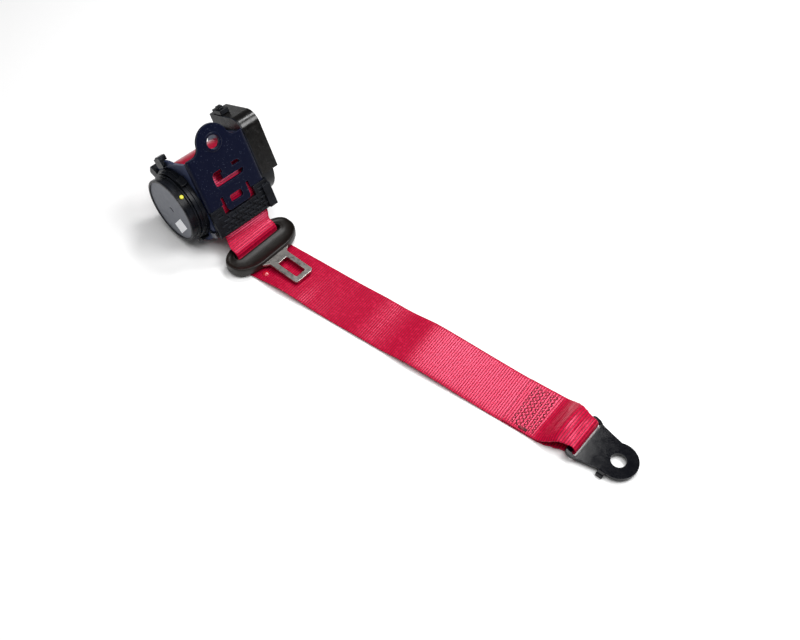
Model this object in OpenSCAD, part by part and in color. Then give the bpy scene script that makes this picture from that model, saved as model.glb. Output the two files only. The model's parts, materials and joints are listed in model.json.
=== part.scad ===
// Inertia-reel seat belt: retractor, sliding tongue, lap webbing and sewn anchor plate.
// Laid out as it rests on a table, belt along +X, table at Z = 0, in millimetres.

/* [Webbing] */
// Width of the woven belt
web_w = 48; // [46:0.5:48]
// Thickness of the woven belt
web_t = 1.2; // [1:0.1:1.3]
// Radius of the wound belt on the reel
roll_r = 34; // [30:0.5:34.2]
// Where the sewn tail starts, measured along the belt
tail_x = 125; // [110:1:130]
// Where the two layers part to form the end loop
loop_x = 152; // [150:1:156]

/* [Retractor frame] */
// Width over the two side plates
frame_w = 60.5; // [60:0.5:62]
// Steel thickness of the frame
frame_t = 2.5; // [2:0.1:2.6]
// Height of the front plate's shoulders
shoulder_y = 50; // [48:1:52]
// Height of the bolt hole's centre
ear_y = 53.5; // [53:0.5:56]
// Outer radius of the bolt ear
ear_r = 16; // [15:0.5:17]
// Radius of the bolt hole
bolt_r = 6; // [5.5:0.1:6.5]
// Radius of the side plates about the reel axis
side_r = 40; // [39:0.5:41]

/* [Reel] */
// Reel axis, up the front plate from its bottom edge
reel_y = 4.8; // [4:0.2:6]
// Reel axis, behind the front plate's face
reel_depth = 38.3; // [38:0.1:39]
// Radius of the torsion bar
shaft_r = 6.5; // [6:0.1:7]
// Radius of the spool's core
core_r = 13; // [12:0.5:14]
// Number of teeth on the ratchet wheel
ratchet_teeth = 16; // [16:1:16]
// Number of teeth on the clutch disc
clutch_teeth = 36; // [36:1:36]

/* [Covers] */
// Outer radius of the spring cover
cover_r = 30.5; // [30:0.5:31]
// How far the spring cover's face stands off the reel's middle
cover_x = 46.8; // [46:0.2:48]
// Outer radius of the lock cover
drum_r = 31; // [31:0.1:31.2]
// Outer face of the sensor cover, from the reel's middle
sensor_x = 49.5; // [49:0.5:51]
// Top of the sensor cover, up the front plate
sensor_top = 57; // [57:0.5:59]
// Wall of the plastic covers
wall = 1.8; // [1.6:0.1:2]

/* [Tongue] */
// Width of the tongue's moulded grip
grip_w = 74; // [72:1:76]
// Length of the grip along the belt
grip_l = 34; // [33:0.5:36]
// Height of the grip
grip_h = 9.5; // [9:0.1:10]
// Width of the latch blade
blade_w = 21; // [20:0.5:22]
// How far the blade reaches from the belt slot
blade_reach = 55; // [53:1:57]
// Thickness of the tongue plate
blade_t = 2.4; // [2:0.1:2.6]

/* [Anchor plate] */
// Thickness of the anchor plate
anchor_t = 3; // [2.8:0.1:3.2]
// Radius of its round bolt end
anchor_r = 16; // [15:0.5:16.5]
// Distance from the loop's start to the bolt hole
anchor_reach = 66; // [65:0.5:69]

/* [Hidden] */
$fn = 64;

gap = 0.3;                 // clearance between pieces that move past each other
fit = 0.06;                // radial clearance of a running fit
seat = 0.05;               // clearance between pieces that sit in each other
big = 200;                 // reach of a cutting block

origin_shift = [10.4, -18, 0];
retractor_at = [-170.9, 10.5, 48.3];
lean = 65.5;               // front plate's normal, away from vertical
reel_yaw = 80.5;           // reel axis, turned from the belt's direction

reel_z = -reel_depth;
inner = frame_w / 2 - frame_t;
outer = frame_w / 2;
half_web = web_w / 2;

fillet_r = 8;
fillet_x = sqrt(pow(ear_r + fillet_r, 2) - pow(shoulder_y + fillet_r - ear_y, 2));
slit_x = 14;
slit_w = 3;
slit_top = 6.5;
tab_bottom = -8;
bend_r = 3.2;              // outer radius of the frame's two bends
flange = 5.5;              // how far the front piece reaches round the bends
bush_r = 13;
rivet_at = [-22, -13.5];
tie_r = 2.5;
tie_angle = 255;
tie_off = roll_r + gap + tie_r + 0.5;
guide_depth = 6.2;         // how far the side plates stand back behind the web guide

tongue_at = [-144.3, 3.5, 1.6];
tongue_yaw = -5.5;
slot_back = -7;
slot_front = -1;
blade_z = 4.2;
window_l = 22.5;
window_w = 10.7;
window_x = blade_reach - 5 - window_l / 2;

anchor_yaw = -4;
anchor_lift = 2.6;
bend_x = -27;
bend_up = 20;
slot_half = 18.5;          // half the belt slot's width in the anchor plate
slot_near = 1;             // slot's near edge, from the bend
slot_l = 4.6;
bar_l = 5;
bar_mid = slot_near + slot_l + bar_l / 2;
loop_half = slot_half - 2;

pawl_angle = 140;
pawl_pivot_r = 25.4;
pawl_arm = 12;
pawl_rest = -104;         // how the pawl lies, from the outward radius through its pin
lever_at = [43, -24];
ball_at = [47.8, -38.3];
ball_r = 4.5;

// Puts a piece drawn about the table's layout point into the part's own frame.
module on_table() translate(origin_shift) children();

// Puts a piece drawn in the retractor's frame where the retractor lies.
module in_retractor() on_table() translate(retractor_at) rotate([lean, 0, reel_yaw]) children();

// Puts a piece drawn in the tongue's frame where the tongue lies.
module in_tongue() on_table() translate(tongue_at) rotate([0, 0, tongue_yaw]) children();

// Puts a piece drawn in the anchor's frame, X = 0 where the loop starts.
module in_anchor() on_table() translate([loop_x, 0, 0]) rotate([0, 0, anchor_yaw]) children();

// Extrudes an outline drawn in the retractor's Y and Z from x0 to x1.
module side_slab(x0, x1) translate([x0, 0, 0]) rotate([90, 0, 90]) linear_extrude(x1 - x0) children();

// A disc on the reel's axis.
module reel_disc(x0, x1, r) side_slab(x0, x1) translate([reel_y, reel_z]) circle(r);

// A ring on the reel's axis.
module reel_ring(x0, x1, r, bore) {
  side_slab(x0, x1) translate([reel_y, reel_z]) difference() {
    circle(r);
    circle(bore);
  }
}

// Turns children about the reel's axis, in the Y and Z plane.
module about_reel(angle, radius) {
  translate([reel_y, reel_z]) rotate(angle) translate([radius, 0]) children();
}

// A rectangle with round corners, centred.
module round_box(w, h, r) {
  union() {
    square([w - 2 * r, h], center = true);
    square([w, h - 2 * r], center = true);
    for (sx = [-1, 1], sy = [-1, 1]) translate([sx * (w / 2 - r), sy * (h / 2 - r)]) circle(r);
  }
}

// ---- Retractor frame -------------------------------------------------------------------

module ear_fillet() {
  difference() {
    polygon([
      [0, shoulder_y - 1], [fillet_x, shoulder_y - 1],
      [fillet_x, shoulder_y + fillet_r], [0, ear_y]
    ]);
    translate([fillet_x, shoulder_y + fillet_r]) circle(fillet_r);
  }
}

module hooked_window() {
  difference() {
    translate([1, 22.5]) round_box(30, 14, 4);
    translate([6.5, 23]) square([23, 5.5], center = true);
    translate([-3.5, 23]) square([11, 8]);
  }
}

module front_outline() {
  difference() {
    union() {
      translate([-outer, 0]) square([frame_w, shoulder_y]);
      translate([0, ear_y]) circle(ear_r);
      ear_fillet();
      mirror([1, 0]) ear_fillet();
      translate([0, tab_bottom / 2 + 1]) round_box(2 * slit_x - slit_w, 2 - tab_bottom, 3);
    }
    translate([0, ear_y]) circle(bolt_r);
    hooked_window();
    for (side = [-1, 1]) translate([side * slit_x, slit_top / 2 - 1]) round_box(slit_w, slit_top + 3, 1);
    translate([0, 0.8]) round_box(13, 7, 2);
  }
}

module side_outline() {
  difference() {
    intersection() {
      union() {
        translate([reel_y, reel_z]) circle(side_r);
        polygon([[0, 0], [shoulder_y, 0], [shoulder_y - 4, -10], [44, -28], [34, -60], [0, -30]]);
      }
      rotate(90 - lean) translate([0.2 - retractor_at[2], -big]) square([2 * big, 2 * big]);
      translate([-big, -big]) square([2 * big, big]);
    }
    translate([-big - 0.2, -guide_depth]) square([big, guide_depth + 1]);
  }
}

// The frame's outside seen along the plate, with its two round bends.
module bend_profile() {
  hull() {
    for (side = [-1, 1]) translate([side * (outer - bend_r), bend_r]) circle(bend_r);
    translate([-outer, big]) square([frame_w, 1]);
  }
}

// The whole pressed frame: front plate and both side plates.
module pressed_frame() {
  difference() {
    union() {
      translate([0, 0, -frame_t]) linear_extrude(frame_t) front_outline();
      side_slab(-outer, -inner) side_outline();
      side_slab(inner, outer) side_outline();
    }
    difference() {
      translate([-outer - 1, -big, -frame_t - bend_r]) cube([frame_w + 2, 2 * big, big]);
      translate([0, big, 0]) rotate([90, 0, 0]) linear_extrude(2 * big) mirror([0, 1]) bend_profile();
    }
    reel_disc(-outer - 1, outer + 1, bush_r);
    side_slab(-outer - 1, outer + 1) about_reel(tie_angle, tie_off) circle(tie_r);
    side_slab(inner - 1, outer + 1) about_reel(pawl_angle, pawl_pivot_r) circle(1.8);
  }
}

// The front plate with its bends. The frame is one pressing, split here behind the bends.
module frame() {
  color("#16203a") in_retractor() intersection() {
    pressed_frame();
    translate([-big, -big, -flange]) cube([2 * big, 2 * big, big]);
  }
}

module side_plates() {
  color("#16203a") in_retractor() intersection() {
    pressed_frame();
    translate([-big, -big, -flange - big - 0.02]) cube([2 * big, 2 * big, big]);
  }
}

module frame_rivets() {
  color("#3c4048") in_retractor() {
    for (x0 = [-outer - 1.4, outer + seat]) side_slab(x0, x0 + 1.35) translate(rivet_at) circle(2);
  }
}

module tie_bar() {
  color("#2a2f38") in_retractor() {
    side_slab(-outer - 1.5, outer + 1.5) about_reel(tie_angle, tie_off) circle(tie_r - seat);
  }
}

// ---- Web guide -------------------------------------------------------------------------

guide_x = [-30, 32.5];
guide_side = 17;           // the guide's shoulders start here, either side of the frame's tab
guide_top = -0.5;
guide_waist = -9.5;
guide_bottom = -26;
guide_back = -10.2;
guide_front = 0.8;
guide_slot_half = 25;
guide_slot_t = 3.2;
guide_slot_z = -5.7;
rib = [6.2, 1.1, 1.3];
rib_end = 0.8;             // the short leg that joins a rib to the next row
side_pocket = [5.2, 1.8, 3];
clip_size = [2.3, 5, 6.8];
rib_pitch = 8.2;
row_pitch = 3.4;

// A block of the web guide between two corners.
module guide_block(a, b) translate(a) cube(b - a);

// One stretch of the staggered comb in front of the belt slot.
module comb_row(row) {
  for (i = [0 : 5]) {
    x = -25.5 + (i + (row % 2) / 2) * rib_pitch;
    y = guide_bottom + 1.6 + row * row_pitch;
    translate([x, y, guide_front - 0.1]) cube(rib);
    translate([x + rib[0] - rib_end, y, guide_front - 0.1]) cube([rib_end, row_pitch, rib[2]]);
  }
}

module web_guide() {
  color("#14161c") in_retractor() {
    difference() {
      union() {
        guide_block([guide_x[0], guide_bottom, -4.1], [guide_x[1], guide_waist, guide_front]);
        guide_block([guide_x[0], guide_waist - 1, -3.7], [-guide_side, guide_top, guide_front]);
        guide_block([guide_side, guide_waist - 1, -3.7], [guide_x[1], guide_top, guide_front]);
        guide_block(
          [-inner + 0.25, guide_bottom, guide_back],
          [inner - 0.25, guide_bottom + 11, guide_front]
        );
        for (row = [0 : 3]) comb_row(row);
        guide_block([24.5, guide_bottom, 0], [guide_x[1], guide_top - 4, 3.2]);
      }
      guide_block(
        [-guide_slot_half, guide_bottom - 1, guide_slot_z - guide_slot_t / 2],
        [guide_slot_half, 0, guide_slot_z + guide_slot_t / 2]
      );
      for (side = [-1, 1], row = [0 : 1]) {
        y = guide_waist + 1 + row * row_pitch;
        translate([side * 22.5 - side_pocket[0] / 2, y, guide_front - 1]) cube(side_pocket);
      }
    }
  }
}

module guide_clip() {
  color("#5d6470") in_retractor() {
    for (x = [-outer - 0.1 - clip_size[0], outer + seat + 0.1]) {
      translate([x, guide_bottom + 0.5, guide_back - 1]) cube(clip_size);
    }
  }
}

// ---- Reel ------------------------------------------------------------------------------

module bush(side) {
  color("#e4e2da") in_retractor() mirror([side < 0 ? 1 : 0, 0, 0]) {
    reel_ring(inner - 0.7, outer + 0.4, 13 - seat, shaft_r + fit);
    reel_ring(inner - 0.7, inner - seat, 15, shaft_r + fit);
  }
}

module bush_spring_side() bush(-1);

module bush_lock_side() bush(1);

module spool() {
  color("#b9bcc0") in_retractor() difference() {
    union() {
      reel_disc(-26.4, 26.4, core_r);
      for (x = [-26.4, 24.6]) reel_disc(x, x + 1.8, 31);
    }
    reel_disc(-big, big, shaft_r + seat);
    side_slab(-24.4, 24.4) about_reel(60, 10) circle(1.9);
    side_slab(-24.4, 24.4) about_reel(60, 12) square([4, 1.6], center = true);
    for (a = [0 : 60 : 300]) side_slab(-big, big) about_reel(a + 30, 22) circle(4);
  }
}

module webbing_pin() {
  color("#c9ccd0") in_retractor() side_slab(-24.3, 24.3) about_reel(60, 10) circle(1.8);
}

module torsion_bar() {
  color("#8f949b") in_retractor() {
    reel_disc(-44, 41.6, shaft_r);
    reel_disc(41.6, 46, 3);
  }
}

module webbing_roll() {
  color("#c4122f") in_retractor() reel_ring(-half_web, half_web, roll_r, core_r + seat);
}

// ---- Spring side -----------------------------------------------------------------------

case_r = 34;
case_x0 = -34;

module spring_case() {
  color("#15171d") in_retractor() {
    difference() {
      union() {
        reel_disc(case_x0, -outer - 0.45, case_r);
        reel_disc(-37.5, case_x0, case_r - 1.2);
      }
      reel_disc(-big, case_x0 + 1.4, cover_r + seat);
      reel_disc(-big, 0, 13.4);
    }
    for (lug = [[14, 42.5, 12], [50, 43, 9]]) {
      side_slab(case_x0, -outer - 0.45) about_reel(-lug[0], lug[1] - 3) round_box(9, lug[2], 1.5);
      side_slab(case_x0 + 1, -inner + 1.5) about_reel(-lug[0], lug[1]) round_box(5, lug[2] - 3, 1.2);
    }
  }
}

module spring_arbor() {
  color("#d7d3c4") in_retractor() {
    reel_ring(-43.8, -34, 9, shaft_r + seat);
    reel_ring(-34, -32, 11, shaft_r + seat);
  }
}

spring_turns = 6;
spring_in = 9.6;
spring_out = 26;
spring_t = 0.7;
steps = 24;

function spiral(k, grow) =
  let (turn = k / steps, r = spring_in + grow + (spring_out - spring_in) * turn / spring_turns)
  [r * cos(360 * turn), r * sin(360 * turn)];

module clock_spring() {
  last = spring_turns * steps;
  outline = concat(
    [for (k = [0 : last]) spiral(k, 0)],
    [for (k = [last : -1 : 0]) spiral(k, spring_t)]
  );
  color("#5a5f66") in_retractor() side_slab(-43.6, -35.6) about_reel(0, 0) polygon(outline);
}

module spring_cover() {
  color("#6d7077") in_retractor() difference() {
    union() {
      reel_disc(-cover_x + 0.9, -33, cover_r - 0.6);
      reel_ring(-cover_x, -cover_x + 2.6, cover_r, cover_r - 2.2);
      reel_ring(-39.6, -38.2, cover_r + 0.9, cover_r - 2);
    }
    reel_disc(-cover_x + 0.9 + wall, -30, cover_r - 0.6 - wall);
    side_slab(-cover_x - 1, -cover_x + 1.6) translate([reel_y, reel_z]) intersection() {
      difference() {
        circle(3.4);
        circle(2.2);
      }
      translate([-1, 0]) square([6, 6]);
    }
  }
}

module cover_label() {
  color("#f4f4f2") in_retractor() side_slab(-cover_x + 0.55, -cover_x + 0.88) about_reel(161, 16) {
    rotate(-9) square([10.5, 18], center = true);
  }
}

module marker_plug() {
  color("#e8e81a") in_retractor() translate([-42, reel_y, reel_z]) rotate([-33, 0, 0]) {
    translate([0, 0, cover_r - 0.55]) cylinder(h = 1.6, r = 1.8);
  }
}

module case_clips() {
  color("#1b1e25") in_retractor() {
    for (a = [40, 160, 215, 281]) {
      side_slab(-38, -outer - 0.45) about_reel(a, case_r + 1.2) round_box(2.3, 9, 0.8);
    }
  }
}

// ---- Lock side -------------------------------------------------------------------------

// A saw-toothed outline on the reel's axis.
module saw_teeth(count, tip, root, phase) {
  outline = [
    for (i = [0 : count - 1], k = [0, 1])
      let (a = phase + (i + (k == 0 ? 0 : 0.001)) * 360 / count, r = k == 0 ? root : tip)
      [r * cos(a), r * sin(a)]
  ];
  translate([reel_y, reel_z]) polygon(outline);
}

ratchet_tip = 20.8;
ratchet_root = 17.2;
ratchet_phase = 8;
lock_x0 = 31.3;
lock_x1 = 34.3;

module ratchet_wheel() {
  color("#7f848b") in_retractor() difference() {
    union() {
      side_slab(lock_x0, lock_x1) saw_teeth(ratchet_teeth, ratchet_tip, ratchet_root, ratchet_phase);
      reel_disc(lock_x1, 35.3, 10);
    }
    reel_disc(0, big, shaft_r + seat);
  }
}

module pawl_outline() {
  about_reel(pawl_angle, pawl_pivot_r) {
    circle(3.3);
    rotate(pawl_rest) translate([0, -1.6]) square([pawl_arm - 2, 3.2]);
    rotate(pawl_rest) translate([pawl_arm, 0]) polygon([
      [-4, 1.6], [-4, -1.6], [-0.8, -4], [0.4, -4], [0.8, 1.6]
    ]);
  }
}

module lock_pawl() {
  color("#9a9fa6") in_retractor() side_slab(lock_x0, lock_x1) difference() {
    pawl_outline();
    about_reel(pawl_angle, pawl_pivot_r) circle(1.75 + fit);
  }
}

module pawl_pin() {
  color("#c2c5c9") in_retractor() {
    side_slab(inner, lock_x1 + 1.4) about_reel(pawl_angle, pawl_pivot_r) circle(1.75);
    side_slab(lock_x1 + 0.3, lock_x1 + 1.4) about_reel(pawl_angle, pawl_pivot_r) circle(2.8);
  }
}

module pawl_spring() {
  color("#7d8289") in_retractor() side_slab(lock_x1 + 1.8, lock_x1 + 2.6) {
    about_reel(pawl_angle, pawl_pivot_r) {
      difference() {
        circle(2.7);
        circle(1.9);
      }
      rotate(pawl_rest) translate([2.2, -0.4]) square([7, 0.8]);
      rotate(40) translate([2.2, -0.4]) square([1.1, 0.8]);
    }
  }
}

clutch_x0 = 38.2;

module clutch_disc() {
  color("#dcdacf") in_retractor() difference() {
    union() {
      side_slab(clutch_x0, clutch_x0 + 1.8) saw_teeth(clutch_teeth, 20, 18.4, 3);
      reel_disc(clutch_x0, 42.6, 8);
    }
    reel_disc(0, big, shaft_r + seat);
  }
}

module inertia_ring() color("#b08d3e") in_retractor() reel_ring(40.4, 42.6, 16.5, 8 + fit);

module lock_cover() {
  color("#1a1c22") in_retractor() difference() {
    union() {
      reel_disc(outer + 0.25, 46.8, drum_r);
      reel_disc(46.8, 47.6, drum_r - 5);
    }
    reel_disc(0, 46.8 - wall, drum_r - wall);
    reel_disc(0, 46.4, 3 + fit);
    translate([36, reel_y, reel_z - 3.5]) cube([8, drum_r + 1, 7]);
  }
}

module lock_cover_screws() {
  color("#a7abb0") in_retractor() for (a = [200, 290]) {
    side_slab(47.0, 48.6) about_reel(a, drum_r - 2.6) circle(1.9);
  }
}

// ---- Sensor side -----------------------------------------------------------------------

base_x1 = outer + 1.9;

// The sensor cover's outline in Y and Z, drawn in by an inset.
module sensor_outline(inset) {
  r = 12;
  difference() {
    intersection() {
      translate([2 + inset, -50 + inset]) square([sensor_top - 2 - 2 * inset, 47.5 - 2 * inset]);
      union() {
        translate([sensor_top - r, -2.5 - r]) circle(r - inset);
        translate([-big, -big]) square([big + sensor_top - r, 2 * big]);
        translate([-big, -big]) square([2 * big, big - 2.5 - r]);
      }
    }
    translate([reel_y, reel_z]) circle(drum_r + gap + inset);
  }
}

module sensor_cover() {
  color("#0b0c10") in_retractor() difference() {
    side_slab(base_x1 + seat, sensor_x) sensor_outline(0);
    side_slab(0, sensor_x - wall) sensor_outline(wall);
    translate([36, 30, reel_z - 3.5]) cube([8, 9, 7]);
  }
}

module cover_latch() {
  color("#23262d") in_retractor() {
    translate([outer + 1, sensor_top + seat, -44]) cube([9, 4.5, 14]);
    translate([outer + 3, sensor_top + 4.5, -40]) cube([5, 2.4, 5]);
  }
}

block_y = ball_at[0] + 2.6;  // bottom of the block that carries the ball's seat

module sensor_housing() {
  color("#202329") in_retractor() difference() {
    union() {
      side_slab(outer + 0.25, base_x1) sensor_outline(0);
      translate([base_x1 - 0.5, block_y, -46]) cube([14, sensor_top - wall - gap - block_y, 29]);
      for (x = [33, 44.4]) translate([x, 40, lever_at[1] - 3]) cube([1.6, 13, 6]);
    }
    translate([39.7, ball_at[0], ball_at[1]]) rotate([-90, 0, 0]) cylinder(h = 5.4, r1 = 5.6, r2 = 2.4);
    side_slab(30, 50) translate(lever_at) circle(1.2 + seat);
  }
}

module sensor_ball() {
  color("#c8cbd0") in_retractor() translate([39.7, ball_at[0] - 0.1, ball_at[1]]) sphere(ball_r);
}

module sensor_lever() {
  color("#f0eee6") in_retractor() difference() {
    union() {
      side_slab(35.2, 43.8) translate(lever_at) circle(2.4);
      translate([36.7, lever_at[0] - 2.3, -44]) cube([6, 1.2, 20]);
      translate([clutch_x0 + 0.1, 26.2, -39.1]) cube([1.5, 15, 1.4]);
    }
    side_slab(30, 50) translate(lever_at) circle(1.2 + fit);
  }
}

module lever_pin() color("#b5b8bd") in_retractor() side_slab(33.2, 45.8) translate(lever_at) circle(1.2);

// ---- Belt ------------------------------------------------------------------------------

// A point of the retractor's mid plane, given up the front plate and off its face.
function on_plate(y, z) =
  retractor_at
  + y * [-cos(lean) * sin(reel_yaw), cos(lean) * cos(reel_yaw), sin(lean)]
  + z * [sin(lean) * sin(reel_yaw), -sin(lean) * cos(reel_yaw), cos(lean)];

// A point above the tongue's middle line, given along the blade and up from the table.
function on_tongue(x, z) = [tongue_at[0] + x * cos(tongue_yaw), tongue_at[1] + x * sin(tongue_yaw), z];

// Middle of the belt from the reel to the table: point, yaw and pitch.
feed_route = [
  [on_plate(-4, -4.7), reel_yaw - 90, lean],
  [on_plate(-27.5, guide_slot_z), reel_yaw - 90, lean + 4],
  [on_plate(-30, guide_slot_z) + [1, 0, 0], reel_yaw - 90, 42],
  [on_tongue(-12, 14.8), tongue_yaw, 21],
  [on_tongue(-6.6, 12.7), tongue_yaw, 32],
  [on_tongue(-3.9, 8.6), tongue_yaw, 76],
  [on_tongue(-3, 3.2), tongue_yaw, 58],
  [[-140.4, 0, web_t / 2], 0, 0]
];

// A vector pitched down, then turned about Z.
function turned(v, pitch, yaw) =
  let (x = v[0] * cos(pitch) + v[2] * sin(pitch), z = v[2] * cos(pitch) - v[0] * sin(pitch))
  [x * cos(yaw) - v[1] * sin(yaw), x * sin(yaw) + v[1] * cos(yaw), z];

function belt_ring(place) = [
  for (c = [[-1, -1], [1, -1], [1, 1], [-1, 1]])
    place[0] + turned([0, c[0] * half_web, c[1] * web_t / 2], place[2], place[1])
];

// A belt swept through the places of a route.
module belt_sweep(route) {
  last = len(route) - 1;
  end = 4 * last;
  sides = [
    for (i = [0 : last - 1], k = [0 : 3])
      let (a = 4 * i + k, b = 4 * i + (k + 1) % 4)
      each [[a, b, b + 4], [a, b + 4, a + 4]]
  ];
  polyhedron(
    points = [for (place = route) each belt_ring(place)],
    faces = concat(
      [[3, 2, 1], [3, 1, 0]],
      sides,
      [[end, end + 1, end + 2], [end, end + 2, end + 3]]
    )
  );
}

module webbing_feed() color("#d2183a") on_table() belt_sweep(feed_route);

lap_x0 = -140.25;

// Everything past the line where the belt turns to lie along the anchor plate.
module past_seam() in_anchor() translate([0, -big / 2, -1]) cube(big);

module webbing_lap() {
  color("#c4122f") difference() {
    on_table() translate([lap_x0, -half_web, 0]) cube([loop_x + 20 - lap_x0, web_w, web_t]);
    past_seam();
  }
}

loop_end = anchor_reach + bend_x - bar_mid * cos(bend_up) + anchor_t / 2 * sin(bend_up);
bar_z = anchor_lift + bar_mid * sin(bend_up) + anchor_t / 2 * cos(bend_up);
cavity_r = norm([bar_l, anchor_t]) / 2 + 0.8;

// Side view of the belt's end loop, in X and Z, between its two layers.
module loop_cavity(grow) {
  r = cavity_r + grow;
  hull() {
    translate([loop_end, bar_z]) circle(r = r, $fn = 32);
    translate([10, 1.8]) circle(r = 0.45 + grow, $fn = 32);
    translate([loop_end - 12, 2.9]) circle(r = 1.5 + grow, $fn = 32);
  }
}

module webbing_loop() {
  color("#d2183a") {
    difference() {
      on_table() translate([tail_x, -half_web, web_t + 0.02]) cube([loop_x + 20 - tail_x, web_w, web_t]);
      past_seam();
    }
    in_anchor() intersection() {
      translate([0, half_web, 0]) rotate([90, 0, 0]) linear_extrude(web_w) difference() {
        union() {
          loop_cavity(web_t);
          square([14, 2 * web_t]);
        }
        loop_cavity(0);
        translate([-1, -5]) square([60, 5]);
      }
      linear_extrude(30) polygon([
        [0, -half_web], [10, -half_web], [24, -loop_half], [40, -loop_half],
        [40, loop_half], [24, loop_half], [10, half_web], [0, half_web]
      ]);
    }
  }
}

stitch_x = [tail_x + 7, loop_x - 2];
stitch_rows = 6;

module stitching() {
  color("#5a0a18") on_table() {
    for (row = [0 : stitch_rows - 1]) {
      x = stitch_x[0] + row * (stitch_x[1] - stitch_x[0]) / (stitch_rows - 1);
      translate([x - 0.35, -20, 2 * web_t + 0.03]) cube([0.7, 39.5, 0.45]);
    }
  }
}

stop_at = [-122.5, -16, 0];

module stop_button() color("#b3122c") on_table() translate(stop_at + [0, 0, web_t]) rotate_extrude() {
  polygon([[0, 0], [3.4, 0], [3, 0.9], [1.6, 1.5], [0, 1.6]]);
}

module stop_stud() {
  color("#b3122c") on_table() translate(stop_at + [0, 0, web_t + 1.6]) cylinder(h = 0.35, r = 1.1);
}

// ---- Tongue ----------------------------------------------------------------------------

module blade_outline() {
  difference() {
    union() {
      translate([slot_front + 2, -30]) square([8, 60]);
      polygon([[8, -24], [17, -18], [22.5, -blade_w / 2], [22.5, blade_w / 2], [17, 18], [8, 24]]);
      translate([(21 + blade_reach) / 2, 0]) round_box(blade_reach - 21, blade_w, 3);
      translate([20, -blade_w / 2]) square([8, blade_w]);
    }
    translate([window_x, 0]) round_box(window_l, window_w, 1);
  }
}

module tongue_plate() {
  color("#b7b9bb") in_tongue() translate([0, 0, blade_z]) linear_extrude(blade_t) blade_outline();
}

module grip_outline(inset) {
  x0 = -grip_l / 2 + 2;
  rear_r = 12;
  front_r = 15;
  hull() {
    for (side = [-1, 1]) {
      translate([x0 + rear_r, side * (grip_w / 2 - rear_r)]) circle(r = rear_r - inset, $fn = 48);
      x1 = x0 + grip_l - front_r;
      translate([x1, side * (grip_w / 2 - front_r)]) circle(r = front_r - inset, $fn = 48);
    }
  }
}

module tongue_cover() {
  color("#2c2a2b") in_tongue() difference() {
    union() {
      linear_extrude(grip_h - 2) grip_outline(0);
      translate([0, 0, grip_h - 2]) linear_extrude(2) grip_outline(2);
    }
    translate([slot_back, -26, -1]) cube([slot_front - slot_back, 52, grip_h + 2]);
    translate([slot_front - 1, -29, -1]) cube([30, 58, 3.2]);
    translate([0, 0, blade_z - seat]) linear_extrude(blade_t + 2 * seat) blade_pocket();
  }
}

// The pocket that the plate sits in.
module blade_pocket() {
  translate([slot_front + 2 - seat, -30 - seat]) square([8 + seat, 60 + 2 * seat]);
  polygon([[8, -24.2], [17, -18.2], [30, -11], [30, 11], [17, 18.2], [8, 24.2]]);
}

// ---- Anchor plate ----------------------------------------------------------------------

shoulder = 19.6;           // half the anchor plate's width at its bend

module anchor_flat() {
  difference() {
    union() {
      circle(anchor_r);
      polygon([[bend_x, -shoulder], [-7, -14.4], [-7, 14.4], [bend_x, shoulder]]);
    }
    circle(bolt_r + 0.2);
  }
}

module anchor_slot_end() {
  rail = 2.6;
  end_l = bar_l + slot_l + rail;
  difference() {
    union() {
      polygon([[0, -shoulder], [-4, -slot_half - rail], [-4, slot_half + rail], [0, shoulder]]);
      translate([-bar_mid - bar_l / 2 + end_l / 2, 0]) round_box(end_l, 2 * (slot_half + rail), rail);
    }
    translate([-slot_near - slot_l / 2, 0]) round_box(slot_l, 2 * slot_half, 2.5);
  }
}

module anchor_plate() {
  color("#0d0e12") in_anchor() translate([anchor_reach, 0, anchor_lift]) {
    linear_extrude(anchor_t) anchor_flat();
    translate([bend_x, 0, 0]) rotate([0, bend_up, 0]) linear_extrude(anchor_t) anchor_slot_end();
    translate([-8, -19.5, -anchor_lift + 0.1]) cube([6, anchor_t, anchor_lift + anchor_t - 0.1]);
    translate([-8, -18.5, 0]) cube([6, 6, anchor_t]);
  }
}

frame();
side_plates();
frame_rivets();
tie_bar();
web_guide();
guide_clip();
bush_spring_side();
bush_lock_side();
spool();
torsion_bar();
webbing_pin();
webbing_roll();
spring_case();
spring_arbor();
clock_spring();
spring_cover();
cover_label();
marker_plug();
case_clips();
ratchet_wheel();
lock_pawl();
pawl_pin();
pawl_spring();
clutch_disc();
inertia_ring();
lock_cover();
lock_cover_screws();
sensor_cover();
cover_latch();
sensor_housing();
sensor_ball();
sensor_lever();
lever_pin();
webbing_feed();
webbing_lap();
webbing_loop();
stitching();
stop_button();
stop_stud();
tongue_plate();
tongue_cover();
anchor_plate();
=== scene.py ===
"""Looks of an inertia-reel seat belt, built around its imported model.

The retractor keeps its machined parts and gets their paint, plastic and plating. The woven belt, its
stitching, the tongue's moulded grip and the pressed anchor plate are modelled here in full.
Everything is in metres in the model's own frame, with the table at Z = 0; sizes are kept in millimetres.
"""

import json
import logging
import math
from collections.abc import Callable, Mapping, Sequence
from dataclasses import dataclass
from enum import Enum

import bmesh
import bpy
from mathutils import Matrix, Vector


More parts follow.
